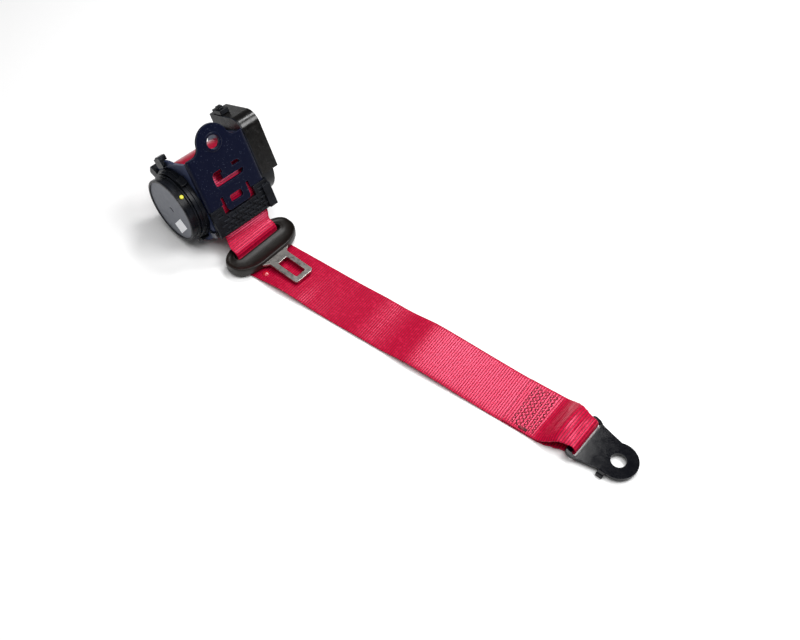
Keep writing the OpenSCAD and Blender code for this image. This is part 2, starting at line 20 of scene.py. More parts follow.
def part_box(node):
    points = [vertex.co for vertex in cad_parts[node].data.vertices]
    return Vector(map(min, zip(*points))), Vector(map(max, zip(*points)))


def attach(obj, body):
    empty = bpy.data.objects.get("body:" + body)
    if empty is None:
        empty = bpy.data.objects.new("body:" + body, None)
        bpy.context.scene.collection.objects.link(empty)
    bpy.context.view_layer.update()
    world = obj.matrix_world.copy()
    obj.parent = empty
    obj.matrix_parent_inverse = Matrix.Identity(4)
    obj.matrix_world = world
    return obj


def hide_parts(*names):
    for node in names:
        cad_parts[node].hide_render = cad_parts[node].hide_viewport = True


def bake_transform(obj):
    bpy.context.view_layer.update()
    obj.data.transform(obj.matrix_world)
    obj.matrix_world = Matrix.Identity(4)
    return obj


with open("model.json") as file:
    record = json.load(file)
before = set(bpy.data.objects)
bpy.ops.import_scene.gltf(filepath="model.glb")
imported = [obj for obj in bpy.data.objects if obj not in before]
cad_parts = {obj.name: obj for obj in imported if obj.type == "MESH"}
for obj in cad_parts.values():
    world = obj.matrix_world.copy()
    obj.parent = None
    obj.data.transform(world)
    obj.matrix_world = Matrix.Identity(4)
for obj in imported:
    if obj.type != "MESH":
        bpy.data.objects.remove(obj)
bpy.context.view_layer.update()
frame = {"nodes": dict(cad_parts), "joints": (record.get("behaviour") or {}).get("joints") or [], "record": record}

MM = 0.001
UP = Vector((0.0, 0.0, 1.0))
MIX_COLOURS = (6, 7)  # a colour Mix node's two inputs
MIX_RESULT = 2
WELD_DISTANCE = 1e-6  # points this close are one, in metres
FLAT_ANGLE = math.radians(1.0)  # facets that turn by less than this make one flat

log = logging.getLogger("seat_belt")


# ---- Small helpers ---------------------------------------------------------------------


def linear(hex_colour: str) -> tuple[float, float, float, float]:
    """Turns an sRGB colour to linear light.

    Args:
        hex_colour: Six hex digits, such as "c4122f".

    Returns:
        Linear red, green and blue, and an alpha of 1.
    """
    channels = [int(hex_colour[i : i + 2], 16) / 255 for i in (0, 2, 4)]
    red, green, blue = (c / 12.92 if c <= 0.04045 else ((c + 0.055) / 1.055) ** 2.4 for c in channels)
    return red, green, blue, 1.0


def add_node(
    tree: bpy.types.NodeTree,
    kind: str,
    settings: Mapping[str | int, object] | None = None,
    links: Mapping[str | int, bpy.types.NodeSocket] | None = None,
) -> bpy.types.Node:
    """Adds a node, sets its properties and inputs, and links its inputs.

    Args:
        tree: The node tree.
        kind: The node's type name.
        settings: Values by property name, or by input name or number.
        links: Output sockets by the name or number of the input they feed.

    Returns:
        The new node.
    """
    node = tree.nodes.new(kind)
    for key, value in (settings or {}).items():
        if isinstance(key, str) and hasattr(node, key):
            setattr(node, key, value)
        else:
            node.inputs[key].default_value = value
    for key, socket in (links or {}).items():
        tree.links.new(socket, node.inputs[key])
    return node


def per_metre(size_mm: float) -> float:
    """A texture scale that repeats once in size_mm of a surface measured in metres."""
    return 1.0 / (size_mm * MM)


def new_piece(
    name: str,
    points: Sequence[Vector],
    faces: Sequence[Sequence[int]],
    finish: "Finish",
    uvs: Sequence[tuple[float, float]] | None = None,
) -> bpy.types.Object:
    """Makes a smooth-shaded piece with its finish.

    Args:
        name: The piece's name.
        points: Its vertices, in metres.
        faces: Vertex numbers of each face.
        finish: What it is made of.
        uvs: A place on the flat material for each vertex, in metres.

    Returns:
        The new object, linked to the scene.
    """
    mesh = bpy.data.meshes.new(name)
    mesh.from_pydata([tuple(p) for p in points], [], [list(f) for f in faces])
    mesh.polygons.foreach_set("use_smooth", [True] * len(mesh.polygons))
    if uvs is not None:
        layer = mesh.uv_layers.new(name="cloth_metres")
        for loop in mesh.loops:
            layer.data[loop.index].uv = uvs[loop.vertex_index]
    mesh.materials.append(finish.material())
    piece = bpy.data.objects.new(name, mesh)
    bpy.context.scene.collection.objects.link(piece)
    return piece


def soften_edges(
    piece: bpy.types.Object, width_mm: float, segments: int = 2, angle_deg: float = 32
) -> None:
    """Rounds a piece's hard edges, so that they catch the light as real ones do.

    Args:
        piece: The piece, whose own mesh stays as it is.
        width_mm: Width of the rounding.
        segments: Facets across the rounding.
        angle_deg: Edges that turn by more than this are rounded.
    """
    stored = piece.data.attributes.get("custom_normal")
    if stored is not None:
        piece.data.attributes.remove(stored)
    piece.data.polygons.foreach_set("use_smooth", [True] * len(piece.data.polygons))
    weld = piece.modifiers.new("weld", "WELD")
    weld.merge_threshold = WELD_DISTANCE
    flats = piece.modifiers.new("flats", "DECIMATE")
    flats.decimate_type = "DISSOLVE"
    flats.angle_limit = FLAT_ANGLE
    edge = piece.modifiers.new("edges", "BEVEL")
    edge.width = width_mm * MM
    edge.segments = segments
    edge.limit_method = "ANGLE"
    edge.angle_limit = math.radians(angle_deg)
    edge.use_clamp_overlap = True
    edge.harden_normals = False
    shade = piece.modifiers.new("shade", "WEIGHTED_NORMAL")
    shade.keep_sharp = False


def link_all(
    tree: bpy.types.NodeTree, shader: bpy.types.Node, sockets: Mapping[str, bpy.types.NodeSocket]
) -> None:
    """Links sockets to a shader's inputs by name.

    Args:
        tree: The node tree.
        shader: The shader.
        sockets: Output sockets by the name of the input they feed.
    """
    for name, socket in sockets.items():
        tree.links.new(socket, shader.inputs[name])


def joint_of(name: str) -> dict:
    """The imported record's joint of that name."""
    return next(joint for joint in frame["joints"] if joint["name"] == name)


def mount_of(name: str) -> dict:
    """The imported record's mount of that name."""
    return next(mount for mount in frame["record"]["mounts"] if mount["name"] == name)


def axes_at(origin: Vector, x: Vector, y: Vector, z: Vector) -> Matrix:
    """A placement with its origin and three axes."""
    return Matrix.Translation(origin) @ Matrix((x, y, z)).transposed().to_4x4()


def smooth_step(value: float, low: float, high: float) -> float:
    """Rises smoothly from 0 at low to 1 at high; low may be the larger."""
    t = min(1.0, max(0.0, (value - low) / (high - low)))
    return t * t * (3 - 2 * t)


# ---- Finishes --------------------------------------------------------------------------


class Grain(Enum):
    """How a mould's surface was finished: grain size and depth in millimetres."""

    POLISHED = (3.0, 0.004)
    FINE = (0.55, 0.02)
    LEATHER = (0.95, 0.06)


@dataclass(frozen=True)
class Finish:
    """A surface: what it is made of, and how it takes the light."""

    name: str
    slot: str
    colour: str
    roughness: float = 0.5
    specular: float = 0.5

    def material(self) -> bpy.types.Material:
        """Builds the material once, and hands the same one back after that.

        Returns:
            The material.
        """
        found = bpy.data.materials.get(self.name)
        if found is not None:
            return found
        made = bpy.data.materials.new(self.name)
        made.use_nodes = True
        made.node_tree.nodes.clear()
        settings = {"Roughness": self.roughness, "Specular IOR Level": self.specular}
        shader = add_node(made.node_tree, "ShaderNodeBsdfPrincipled", settings)
        shader.inputs["Base Color"].default_value = linear(self.colour)
        add_node(made.node_tree, "ShaderNodeOutputMaterial", links={"Surface": shader.outputs["BSDF"]})
        self.dress(made.node_tree, shader)
        return made

    def dress(self, tree: bpy.types.NodeTree, shader: bpy.types.Node) -> None:
        """Adds what the kind of surface shows; each kind has its own."""

    def place(self, tree: bpy.types.NodeTree) -> bpy.types.NodeSocket:
        """The surface's own coordinates, in metres."""
        return add_node(tree, "ShaderNodeTexCoord").outputs["Object"]

    def mottle(
        self, tree: bpy.types.NodeTree, place: bpy.types.NodeSocket, size_mm: float, low: float, high: float
    ) -> bpy.types.NodeSocket:
        """Soft patches of one size.

        Args:
            tree: The node tree.
            place: The coordinates.
            size_mm: Size of a patch.
            low: The value in the lowest patches.
            high: The value in the highest patches.

        Returns:
            A socket that runs from low to high.
        """
        noise = add_node(
            tree, "ShaderNodeTexNoise", {"Scale": per_metre(size_mm), "Detail": 3.0}, {"Vector": place}
        )
        spread = {"From Min": 0.3, "From Max": 0.7, "To Min": low, "To Max": high}
        patches = add_node(tree, "ShaderNodeMapRange", spread, {"Value": noise.outputs["Fac"]})
        return patches.outputs["Result"]

    def tint(
        self,
        tree: bpy.types.NodeTree,
        share: bpy.types.NodeSocket,
        first: str | bpy.types.NodeSocket,
        second: str,
    ) -> bpy.types.NodeSocket:
        """Mixes two colours.

        Args:
            tree: The node tree.
            share: How much of the second colour shows.
            first: The first colour, as hex digits or a socket.
            second: The second colour, as hex digits.

        Returns:
            The mixed colour's socket.
        """
        mix = add_node(tree, "ShaderNodeMix", {"data_type": "RGBA"}, {"Factor": share})
        mix.inputs[MIX_COLOURS[1]].default_value = linear(second)
        if isinstance(first, str):
            mix.inputs[MIX_COLOURS[0]].default_value = linear(first)
        else:
            tree.links.new(first, mix.inputs[MIX_COLOURS[0]])
        return mix.outputs[MIX_RESULT]

    def rubbed_and_highlit_edges(self, tree: bpy.types.NodeTree, strength: float) -> bpy.types.NodeSocket:
        """How much an edge is paled, as rubbed wear and as a painted edge highlight: where a rounded normal would
        leave the true one.

        Args:
            tree: The node tree.
            strength: The value on the sharpest edges.

        Returns:
            A socket that runs from 0 on the flats to strength on the edges.
        """
        rounded = add_node(tree, "ShaderNodeBevel", {"samples": 4, "Radius": 0.7 * MM})
        true = add_node(tree, "ShaderNodeNewGeometry")
        alike = add_node(
            tree,
            "ShaderNodeVectorMath",
            {"operation": "DOT_PRODUCT"},
            {0: rounded.outputs["Normal"], 1: true.outputs["Normal"]},
        )
        span = {"From Min": 0.97, "From Max": 0.8, "To Min": 0.0, "To Max": strength}
        rubbed_and_highlit = add_node(tree, "ShaderNodeMapRange", span, {"Value": alike.outputs["Value"]})
        return rubbed_and_highlit.outputs["Result"]


@dataclass(frozen=True)
class MouldedPlastic(Finish):
    """Injection-moulded nylon, acetal or ABS: even colour, a fine mould grain and faintly paler edges."""

    edge: str = "3a3d44"
    grain: Grain = Grain.FINE
    wear: float = 0.35

    def dress(self, tree: bpy.types.NodeTree, shader: bpy.types.Node) -> None:
        """Adds the mould grain, slight cloudiness, and paler edges that are partly rubbed wear and partly a
        painted highlight.

        Args:
            tree: The node tree.
            shader: The shader to feed.
        """
        place = self.place(tree)
        size_mm, depth_mm = self.grain.value
        cells = add_node(tree, "ShaderNodeTexVoronoi", {"Scale": per_metre(size_mm)}, {"Vector": place})
        bump = add_node(
            tree,
            "ShaderNodeBump",
            {"Strength": 0.6, "Distance": depth_mm * MM},
            {"Height": cells.outputs["Distance"]},
        )
        cloud = self.mottle(tree, place, 9.0, 0.0, 0.12)
        colour = self.tint(tree, cloud, self.colour, self.edge)
        # Painted edge highlight mixed with rubbed wear: edges are tinted toward the paler edge colour.
        colour = self.tint(tree, self.rubbed_and_highlit_edges(tree, self.wear), colour, self.edge)
        rough = self.mottle(tree, place, 4.0, self.roughness - 0.06, self.roughness + 0.06)
        sockets = {"Base Color": colour, "Roughness": rough, "Normal": bump.outputs["Normal"]}
        link_all(tree, shader, sockets)


@dataclass(frozen=True)
class PaintedSteel(Finish):
    """Pressed steel under baked electrocoat: faint orange peel, pale dust, and paler edges that are partly thin
    paint and partly a painted highlight.
    """

    edge: str = "59606e"
    speck: str = "7d8798"
    specks: float = 0.6
    peel_mm: float = 1.4

    def dress(self, tree: bpy.types.NodeTree, shader: bpy.types.Node) -> None:
        """Adds orange peel, dust specks, and edges paled as rubbed wear and as a painted highlight.

        Args:
            tree: The node tree.
            shader: The shader to feed.
        """
        place = self.place(tree)
        waves = {"Scale": per_metre(self.peel_mm), "Detail": 2.0}
        peel = add_node(tree, "ShaderNodeTexNoise", waves, {"Vector": place})
        relief = {"Strength": 0.35, "Distance": 0.03 * MM}
        bump = add_node(tree, "ShaderNodeBump", relief, {"Height": peel.outputs["Fac"]})
        # Real dust is finer than a hair; the cells are 1.6 mm so that single grains show.
        grains = add_node(
            tree, "ShaderNodeTexVoronoi", {"Scale": per_metre(1.6), "Randomness": 1.0}, {"Vector": place}
        )
        dot = {"From Min": 0.13, "From Max": 0.05, "To Min": 0.0, "To Max": self.specks}
        dots = add_node(tree, "ShaderNodeMapRange", dot, {"Value": grains.outputs["Distance"]})
        patch = self.mottle(tree, place, 11.0, 0.0, 1.0)
        dusty = add_node(
            tree, "ShaderNodeMath", {"operation": "MULTIPLY"}, {0: dots.outputs["Result"], 1: patch}
        )
        colour = self.tint(tree, dusty.outputs["Value"], self.colour, self.speck)
        # Painted edge highlight mixed with thin paint: edges are tinted toward the paler edge colour.
        colour = self.tint(tree, self.rubbed_and_highlit_edges(tree, 0.5), colour, self.edge)
        rough = self.mottle(tree, place, 6.0, self.roughness - 0.02, self.roughness + 0.03)
        sockets = {"Base Color": colour, "Roughness": rough, "Normal": bump.outputs["Normal"]}
        link_all(tree, shader, sockets)


@dataclass(frozen=True)
class BareMetal(Finish):
    """Plated, ground or cast metal: grey with a directional grain, brighter on its rounded edges."""

    bright: str = "e4e4e2"
    grain_mm: float = 0.6
    stretch: float = 12.0

    def dress(self, tree: bpy.types.NodeTree, shader: bpy.types.Node) -> None:
        """Adds the grain that tumbling or casting leaves, and edges brightened as polish and as a painted
        highlight.

        Args:
            tree: The node tree.
            shader: The shader to feed.
        """
        shader.inputs["Metallic"].default_value = 1.0
        place = self.place(tree)
        squeeze = add_node(
            tree, "ShaderNodeMapping", {"Scale": (1.0, self.stretch, self.stretch)}, {"Vector": place}
        )
        grain = add_node(
            tree,
            "ShaderNodeTexNoise",
            {"Scale": per_metre(self.grain_mm * self.stretch), "Detail": 4.0},
            {"Vector": squeeze.outputs["Vector"]},
        )
        relief = {"Strength": 0.15, "Distance": 0.01 * MM}
        bump = add_node(tree, "ShaderNodeBump", relief, {"Height": grain.outputs["Fac"]})
        cloud = self.mottle(tree, place, 5.0, 0.0, 0.35)
        colour = self.tint(tree, cloud, self.colour, self.bright)
        # Painted edge highlight mixed with polish: edges are tinted toward the bright colour.
        colour = self.tint(tree, self.rubbed_and_highlit_edges(tree, 0.9), colour, self.bright)
        rough = self.mottle(tree, place, 3.0, self.roughness - 0.07, self.roughness + 0.07)
        sockets = {"Base Color": colour, "Roughness": rough, "Normal": bump.outputs["Normal"]}
        link_all(tree, shader, sockets)


@dataclass(frozen=True)
class WovenPolyester(Finish):
    """Woven belt: ribs of weft across it, columns of warp along it, painted shade in its valleys and painted
    glints here and there.
    """

    valley_shade: str = "560316"
    glint: str = "e02850"
    shine: str = "ff81a4"
    rib_mm: float = 2.1
    warp_mm: float = 1.4

    def wave(
        self, tree: bpy.types.NodeTree, along: bpy.types.NodeSocket, size_mm: float
    ) -> bpy.types.NodeSocket:
        """Makes a rounded rib every size_mm.

        Args:
            tree: The node tree.
            along: The distance across the ribs, in metres.
            size_mm: From one rib to the next.

        Returns:
            A socket that runs from 0 in the valleys to 1 on the crests.
        """
        turn = add_node(
            tree, "ShaderNodeMath", {"operation": "MULTIPLY", 1: math.pi * per_metre(size_mm)}, {0: along}
        )
        sine = add_node(tree, "ShaderNodeMath", {"operation": "SINE"}, {0: turn.outputs["Value"]})
        rib = add_node(tree, "ShaderNodeMath", {"operation": "ABSOLUTE"}, {0: sine.outputs["Value"]})
        return rib.outputs["Value"]

    def dress(self, tree: bpy.types.NodeTree, shader: bpy.types.Node) -> None:
        """Adds the weave with painted valley shade and glints. A real rib is 1 to 1.2 mm; these are drawn at 2.1
        mm so that each one shows.

        Args:
            tree: The node tree.
            shader: The shader to feed.
        """
        flat = add_node(tree, "ShaderNodeTexCoord").outputs["UV"]
        split = add_node(tree, "ShaderNodeSeparateXYZ", links={"Vector": flat})
        ribs = self.wave(tree, split.outputs["Y"], self.rib_mm)
        warps = self.wave(tree, split.outputs["X"], self.warp_mm)
        weave = add_node(
            tree,
            "ShaderNodeMath",
            {"operation": "MULTIPLY_ADD", 1: 0.35},
            {0: warps, 2: ribs},
        ).outputs["Value"]
        # Painted glints: a random share of weave cells is tinted toward the pink glint colour, standing in for
        # filament highlights.
        cell = add_node(
            tree,
            "ShaderNodeVectorMath",
            {"operation": "SNAP", 1: (self.warp_mm * MM, self.rib_mm * MM, 1.0)},
            {0: flat},
        )
        flat_noise = {"noise_dimensions": "2D"}
        dice = add_node(tree, "ShaderNodeTexWhiteNoise", flat_noise, {"Vector": cell.outputs[0]})
        lucky = {"From Min": 0.7, "From Max": 1.0, "To Min": 0.0, "To Max": 0.3}
        glints = add_node(tree, "ShaderNodeMapRange", lucky, {"Value": dice.outputs["Value"]})
        # Painted shade: the weave's valleys are darkened toward the valley shade colour; the same share makes them
        # rougher.
        deep = add_node(
            tree,
            "ShaderNodeMapRange",
            {"From Min": 0.35, "From Max": 1.05, "To Min": 1.0, "To Max": 0.0},
            {"Value": weave},
        )
        colour = self.tint(tree, deep.outputs["Result"], self.colour, self.valley_shade)
        colour = self.tint(tree, glints.outputs["Result"], colour, self.glint)
        rough = add_node(
            tree,
            "ShaderNodeMapRange",
            {"To Min": self.roughness, "To Max": self.roughness + 0.3},
            {"Value": deep.outputs["Result"]},
        )
        bump = add_node(tree, "ShaderNodeBump", {"Strength": 0.3, "Distance": 0.12 * MM}, {"Height": weave})
        rough_share = rough.outputs["Result"]
        sockets = {"Base Color": colour, "Roughness": rough_share, "Normal": bump.outputs["Normal"]}
        link_all(tree, shader, sockets)
        shader.inputs["IOR"].default_value = 1.57
        shader.inputs["Specular Tint"].default_value = linear(self.shine)


@dataclass(frozen=True)
class SewingThread(Finish):
    """Bonded polyester thread, twisted from three plies: a dark line with a fine slanting twist."""

    ply: str = "8a1c30"
    twist_mm: float = 0.5

    def dress(self, tree: bpy.types.NodeTree, shader: bpy.types.Node) -> None:
        """Adds the twist as slanting stripes.

        Args:
            tree: The node tree.
            shader: The shader to feed.
        """
        place = self.place(tree)
        stripes = add_node(
            tree,
            "ShaderNodeTexWave",
            {"bands_direction": "DIAGONAL", "Scale": per_metre(self.twist_mm) / 20, "Distortion": 1.5},
            {"Vector": place},
        )
        colour = self.tint(tree, stripes.outputs["Fac"], self.colour, self.ply)
        relief = {"Strength": 0.5, "Distance": 0.08 * MM}
        bump = add_node(tree, "ShaderNodeBump", relief, {"Height": stripes.outputs["Fac"]})
        link_all(tree, shader, {"Base Color": colour, "Normal": bump.outputs["Normal"]})


# Electrocoated deep navy, thin enough to look nearly black away from the light.
NAVY_ELECTROCOAT = PaintedSteel(
    "navy electrocoated steel", "navy_painted_steel", "030820", 0.34, 0.12, "4a5266", "a4b0c8", 0.9
)
# Gloss black electrocoat on the pressed anchor plate: crisp, wet-looking bends.
BLACK_ELECTROCOAT = PaintedSteel(
    "gloss black electrocoated steel",
    "black_painted_steel",
    "04050b",
    0.12,
    0.2,
    "2a2e3c",
    "2c303a",
    0.1,
    4.0,
)
# Black zinc on rivets and bars: dull, slightly blue.
BLACK_ZINC = BareMetal("black zinc plated steel", "black_painted_steel", "23262d", 0.5, 0.5, "4a4f5a")
# Crimson polyester webbing: its shine is pink, since light passes through its filaments on the way back.
CRIMSON_WEBBING = WovenPolyester(
    "crimson woven polyester webbing", "belt_webbing", "bc0834", 0.22, 0.46
)
# Thread a good deal darker than the belt, so that the sewn rows stand out.
MAROON_THREAD = SewingThread("maroon bonded thread", "belt_thread", "3a0610", 0.55, 0.4)
# Glass-filled black nylon: near black with a faint, narrow shine, and greyer along its edges.
BLACK_NYLON = MouldedPlastic("black glass-filled nylon", "black_moulding", "020306", 0.3, 0.14, "454a56")
# Polished black ABS: shiny, so it stays black except where a lamp shows in it.
GLOSS_ABS = MouldedPlastic(
    "polished black ABS", "gloss_moulding", "010101", 0.23, 0.42, "2a2420", Grain.POLISHED, 0.25
)
# Satin face of the spring cover: a mid cool grey, evenly lit.
GREY_ABS = MouldedPlastic("satin grey ABS", "grey_moulding", "6c6f77", 0.5, 0.4, "7e828a")
# Soft-grained grip of the tongue: brown-black, like fine leather.
GRAINED_GRIP = MouldedPlastic(
    "leather-grained black grip", "dark_grip", "120e0b", 0.4, 0.35, "2c2622", Grain.LEATHER
)
# Natural acetal: an opaque ivory white with a soft shine.
IVORY_ACETAL = MouldedPlastic("natural acetal", "white_acetal", "dcd9cd", 0.4, 0.5, "f2efe6")
# Blank paper-faced film: matt, cool white.
BLANK_FILM = MouldedPlastic("blank white film", "plain_label", "fcfdff", 0.6, 0.3, "e4eaf4")
# Small plug of bright yellow polypropylene.
YELLOW_PLUG = MouldedPlastic("yellow polypropylene", "yellow_plug", "e6e112", 0.4, 0.5, "f6f27a")
# Glossy crimson button: deep red with a small sharp highlight.
RED_BUTTON = MouldedPlastic(
    "glossy crimson polypropylene", "red_button", "b40a26", 0.15, 0.6, "e84a60", Grain.POLISHED
)
# Satin nickel on the latch plate: warm mid grey with brighter corners.
SATIN_NICKEL = BareMetal("satin nickel plated steel", "plated_steel", "96928e", 0.32, 0.5, "cfccc8")
# Zinc plating on pins, screws and the ball: a cool mid grey with a soft gleam.
ZINC = BareMetal("zinc plated steel", "zinc_steel", "9ea2a8", 0.38, 0.5)
# Oiled spring steel: dark blue-grey with paler edges, partly rubbed wear and partly a painted highlight.
OILED_SPRING = BareMetal("oiled spring steel", "spring_steel", "5b5f66", 0.32, 0.5, "a9adb3")
# Die-cast zinc of the spool: a dull, even grey.
CAST_ZINC = BareMetal("die-cast zinc alloy", "die_cast", "9b9ca0", 0.5, 0.5, "c4c5c8", 1.2, 1.5)
# Turned brass of the inertia ring: a warm, darkish yellow.
BRASS = BareMetal("turned brass", "brass", "b08a3a", 0.3, 0.5, "e2c377")


# ---- Belt geometry ---------------------------------------------------------------------


@dataclass
class Station:
    """A place along the belt: middle, way across, half width, crown and the near edge's curl."""

    middle: Vector
    across: Vector
    half: float = 24.0
    crown: float = 0.0
    curl: float = 0.0


class Ribbon:
    """A belt swept along its stations, woven ribs included."""

    columns = 24
    step_mm = 0.4

    def __init__(
        self, keys: Sequence[Station], thickness: float, rib_pitch: float, rib_height: float
    ) -> None:
        """Samples a smooth line through the keys.

        Args:
            keys: Given stations, places in metres and widths in millimetres.
            thickness: The belt's thickness in millimetres.
            rib_pitch: Distance from rib to rib, in millimetres.
            rib_height: How far a rib stands proud, in millimetres.
        """
        self.thickness = thickness
        self.rib_pitch = rib_pitch
        self.rib_height = rib_height
        self.stations = self.sample(keys)
        self.lengths = self.measure(self.stations)

    def sample(self, keys: Sequence[Station]) -> list[Station]:
        """Runs a Catmull-Rom line through the keys.

        Args:
            keys: The given stations.

        Returns:
            Stations at even steps of about step_mm.
        """
        found: list[Station] = []
        for i in range(len(keys) - 1):
            before, a, b, after = (keys[min(max(k, 0), len(keys) - 1)] for k in (i - 1, i, i + 1, i + 2))
            span = (b.middle - a.middle).length
            count = max(2, round(span / (self.step_mm * MM)))
            reach = [b.middle - before.middle, after.middle - a.middle]
            pulls = [way * (span / max(way.length, 1e-9)) for way in reach]
            for k in range(count + (i == len(keys) - 2)):
                t = k / count
                h = (2 * t**3 - 3 * t**2 + 1, t**3 - 2 * t**2 + t, -2 * t**3 + 3 * t**2, t**3 - t**2)
                middle = a.middle * h[0] + pulls[0] * h[1] + b.middle * h[2] + pulls[1] * h[3]
                ease = t * t * (3 - 2 * t)
                found.append(
                    Station(
                        middle,
                        a.across.lerp(b.across, ease).normalized(),
                        a.half + (b.half - a.half) * ease,
                        a.crown + (b.crown - a.crown) * ease,
                        a.curl + (b.curl - a.curl) * ease,
                    )
                )
        return found

    def measure(self, stations: Sequence[Station]) -> list[float]:
        """Adds up the belt's length.

        Args:
            stations: The stations in order.

        Returns:
            The length up to each station, in metres.
        """
        lengths = [0.0]
        for a, b in zip(stations, stations[1:]):
            lengths.append(lengths[-1] + (b.middle - a.middle).length)
        return lengths

    def nearest(self, place: Vector) -> int:
        """Number of the station that is nearest a place."""
        return min(range(len(self.stations)), key=lambda i: (self.stations[i].middle - place).length)

    def ring(self, i: int, first: int, last: int) -> list[tuple[Vector, tuple[float, float]]]:
        """Points round the belt at one station, with their places on the flat cloth.

        Args:
            i: The station's number.
            first: Number of the piece's first station.
            last: Number of the piece's last station.

        Returns:
            The upper row from edge to edge, then the lower row back.
        """
        here = self.stations[i]
        ahead, behind = self.stations[min(i + 1, last)], self.stations[max(i - 1, first)]
        onward = (ahead.middle - behind.middle).normalized()
        face = onward.cross(here.across).normalized()
        length = self.lengths[i]
        rib = abs(math.sin(math.pi * length / (self.rib_pitch * MM))) * self.rib_height
        upper, lower = [], []
        for k in range(self.columns + 1):
            u = math.sin(math.pi * (k / self.columns - 0.5))  # closer together at the selvedges
            spine = here.middle + here.across * (u * here.half * MM)
            lift = here.crown * (1 - u * u) + here.curl * max(0.0, -u - 0.55) ** 2
            round_off = math.sqrt(max(0.0, 1 - abs(u) ** 14))
            flat = (self.thickness / 2 + rib) * (0.35 + 0.65 * round_off)
            cloth = (u * 24.0 * MM, length)
            upper.append((spine + face * ((lift + flat) * MM), cloth))
            lower.append((spine + face * ((lift - flat) * MM), cloth))
        return upper + lower[::-1]

    def build(
        self, name: str, finish: Finish, first: int = 0, last: int | None = None
    ) -> bpy.types.Object:
        """Makes the closed mesh from one station to another.

        Args:
            name: The piece's name.
            finish: The belt's finish.
            first: Number of the first station.
            last: Number of the last one, or None for the end.

        Returns:
            The new piece.
        """
        last = len(self.stations) - 1 if last is None else last
        round_count = 2 * (self.columns + 1)
        points: list[Vector] = []
        cloth: list[tuple[float, float]] = []
        for i in range(first, last + 1):
            for point, flat in self.ring(i, first, last):
                points.append(point)
                cloth.append(flat)
        faces = []
        for i in range(last - first):
            for k in range(round_count):
                a, b = i * round_count + k, i * round_count + (k + 1) % round_count
                faces.append((a, a + round_count, b + round_count, b))
        end = (last - first) * round_count
        for k in range(self.columns):
            a, b = k, round_count - 1 - k
            faces.append((a, a + 1, b - 1, b))
            faces.append((end + b, end + b - 1, end + a + 1, end + a))
        return new_piece(name, points, faces, finish, cloth)


# ---- Sub-assemblies --------------------------------------------------------------------


@dataclass
class Retractor:
    """The frame with its guide, spring side, lock side and sensor side."""

    body: str = "retractor_and_belt"
    reel_y: float = 4.8
    reel_depth: float = 38.3
    cover_face_r: float = 28.4
    cover_face_off: float = 45.5
    collar_in: float = 6.0
    collar_out: float = 8.6
    collar_h: float = 0.7
    collar_sunk: float = 0.05

    def __post_init__(self) -> None:
        """Finds the front plate's placement from the reel's joint and the plate's mount."""
        reel = joint_of("reel_spin")
        self.x = Vector(reel["axis"])
        self.z = Vector(mount_of("pillar_face")["axis"])
        self.y = self.z.cross(self.x)
        self.reel_at = Vector(reel["pos_m"])
        origin = self.reel_at - self.y * (self.reel_y * MM) + self.z * (self.reel_depth * MM)
        self.place = axes_at(origin, self.x, self.y, self.z)

    def at(self, x: float, y: float, z: float) -> Vector:
        """A place in millimetres along the reel, up the front plate and off its face."""
        return self.place @ Vector((x * MM, y * MM, z * MM))

    def finishes(self) -> dict[str, tuple[Finish, float]]:
        """Names what each kept part is made of.

        Returns:
            Each part's finish and the width of its edge rounding, in millimetres.
        """
        return {
            "frame": (NAVY_ELECTROCOAT, 0.45),
            "frame_rivets": (BLACK_ZINC, 0.3),
            "tie_bar": (BLACK_ZINC, 0.3),
            "web_guide": (BLACK_NYLON, 0.22),
            "guide_clip": (OILED_SPRING, 0.3),
            "bush_spring_side": (IVORY_ACETAL, 0.2),
            "bush_lock_side": (IVORY_ACETAL, 0.2),
            "spring_case": (BLACK_NYLON, 0.5),
            "clock_spring": (OILED_SPRING, 0.1),
            "spring_cover": (BLACK_NYLON, 0.7),
            "cover_label": (BLANK_FILM, 0.1),
            "marker_plug": (YELLOW_PLUG, 0.45),
            "case_clips": (BLACK_NYLON, 0.4),
            "pawl_pin": (ZINC, 0.2),
            "pawl_spring": (OILED_SPRING, 0.1),
            "lock_cover": (BLACK_NYLON, 0.8),
            "lock_cover_screws": (ZINC, 0.3),
            "sensor_cover": (GLOSS_ABS, 0.9),
            "cover_latch": (BLACK_NYLON, 0.6),
            "sensor_housing": (BLACK_NYLON, 0.3),
            "lever_pin": (ZINC, 0.2),
            "lock_pawl": (ZINC, 0.2),
            "sensor_ball": (ZINC, 0.0),
            "sensor_lever": (IVORY_ACETAL, 0.2),
        }

    def dress(self) -> None:
        """Gives each kept part its finish and soft edges."""
        for node, (finish, rounding) in self.finishes().items():
            dress_node(node, finish, rounding)
        self.grey_cover_face()

    def grey_cover_face(self) -> None:
        """Gives the spring cover's flat face its satin grey, inside the black rim."""
        cover = frame["nodes"]["spring_cover"]
        cover.data.materials.append(GREY_ABS.material())
        for face in cover.data.polygons:
            off = face.center - self.reel_at
            away = off.dot(self.x)
            inside_rim = (off - self.x * away).length < self.cover_face_r * MM
            outermost = away < -self.cover_face_off * MM
            if inside_rim and outermost and abs(face.normal.dot(self.x)) > 0.99:
                face.material_index = 1

    def build_collar(self) -> bpy.types.Object:
        """Turns the pressed collar round the bolt hole, a low smooth ring.

        Returns:
            The collar.
        """
        bolt = Vector(mount_of("retractor_bolt")["pos_m"])
        middle = bolt - self.z * (bolt - self.place.translation).dot(self.z)
        half = (self.collar_out - self.collar_in) / 2
        profile = [(self.collar_in, -self.collar_sunk)]
        for k in range(9):
            turn = math.pi * k / 8
            profile.append((self.collar_in + half * (1 - math.cos(turn)), self.collar_h * math.sin(turn)))
        profile.append((self.collar_out, -self.collar_sunk))
        place = axes_at(middle, self.x, self.y, self.z)
        return turned_piece("bolt_hole_collar", profile, place, NAVY_ELECTROCOAT)


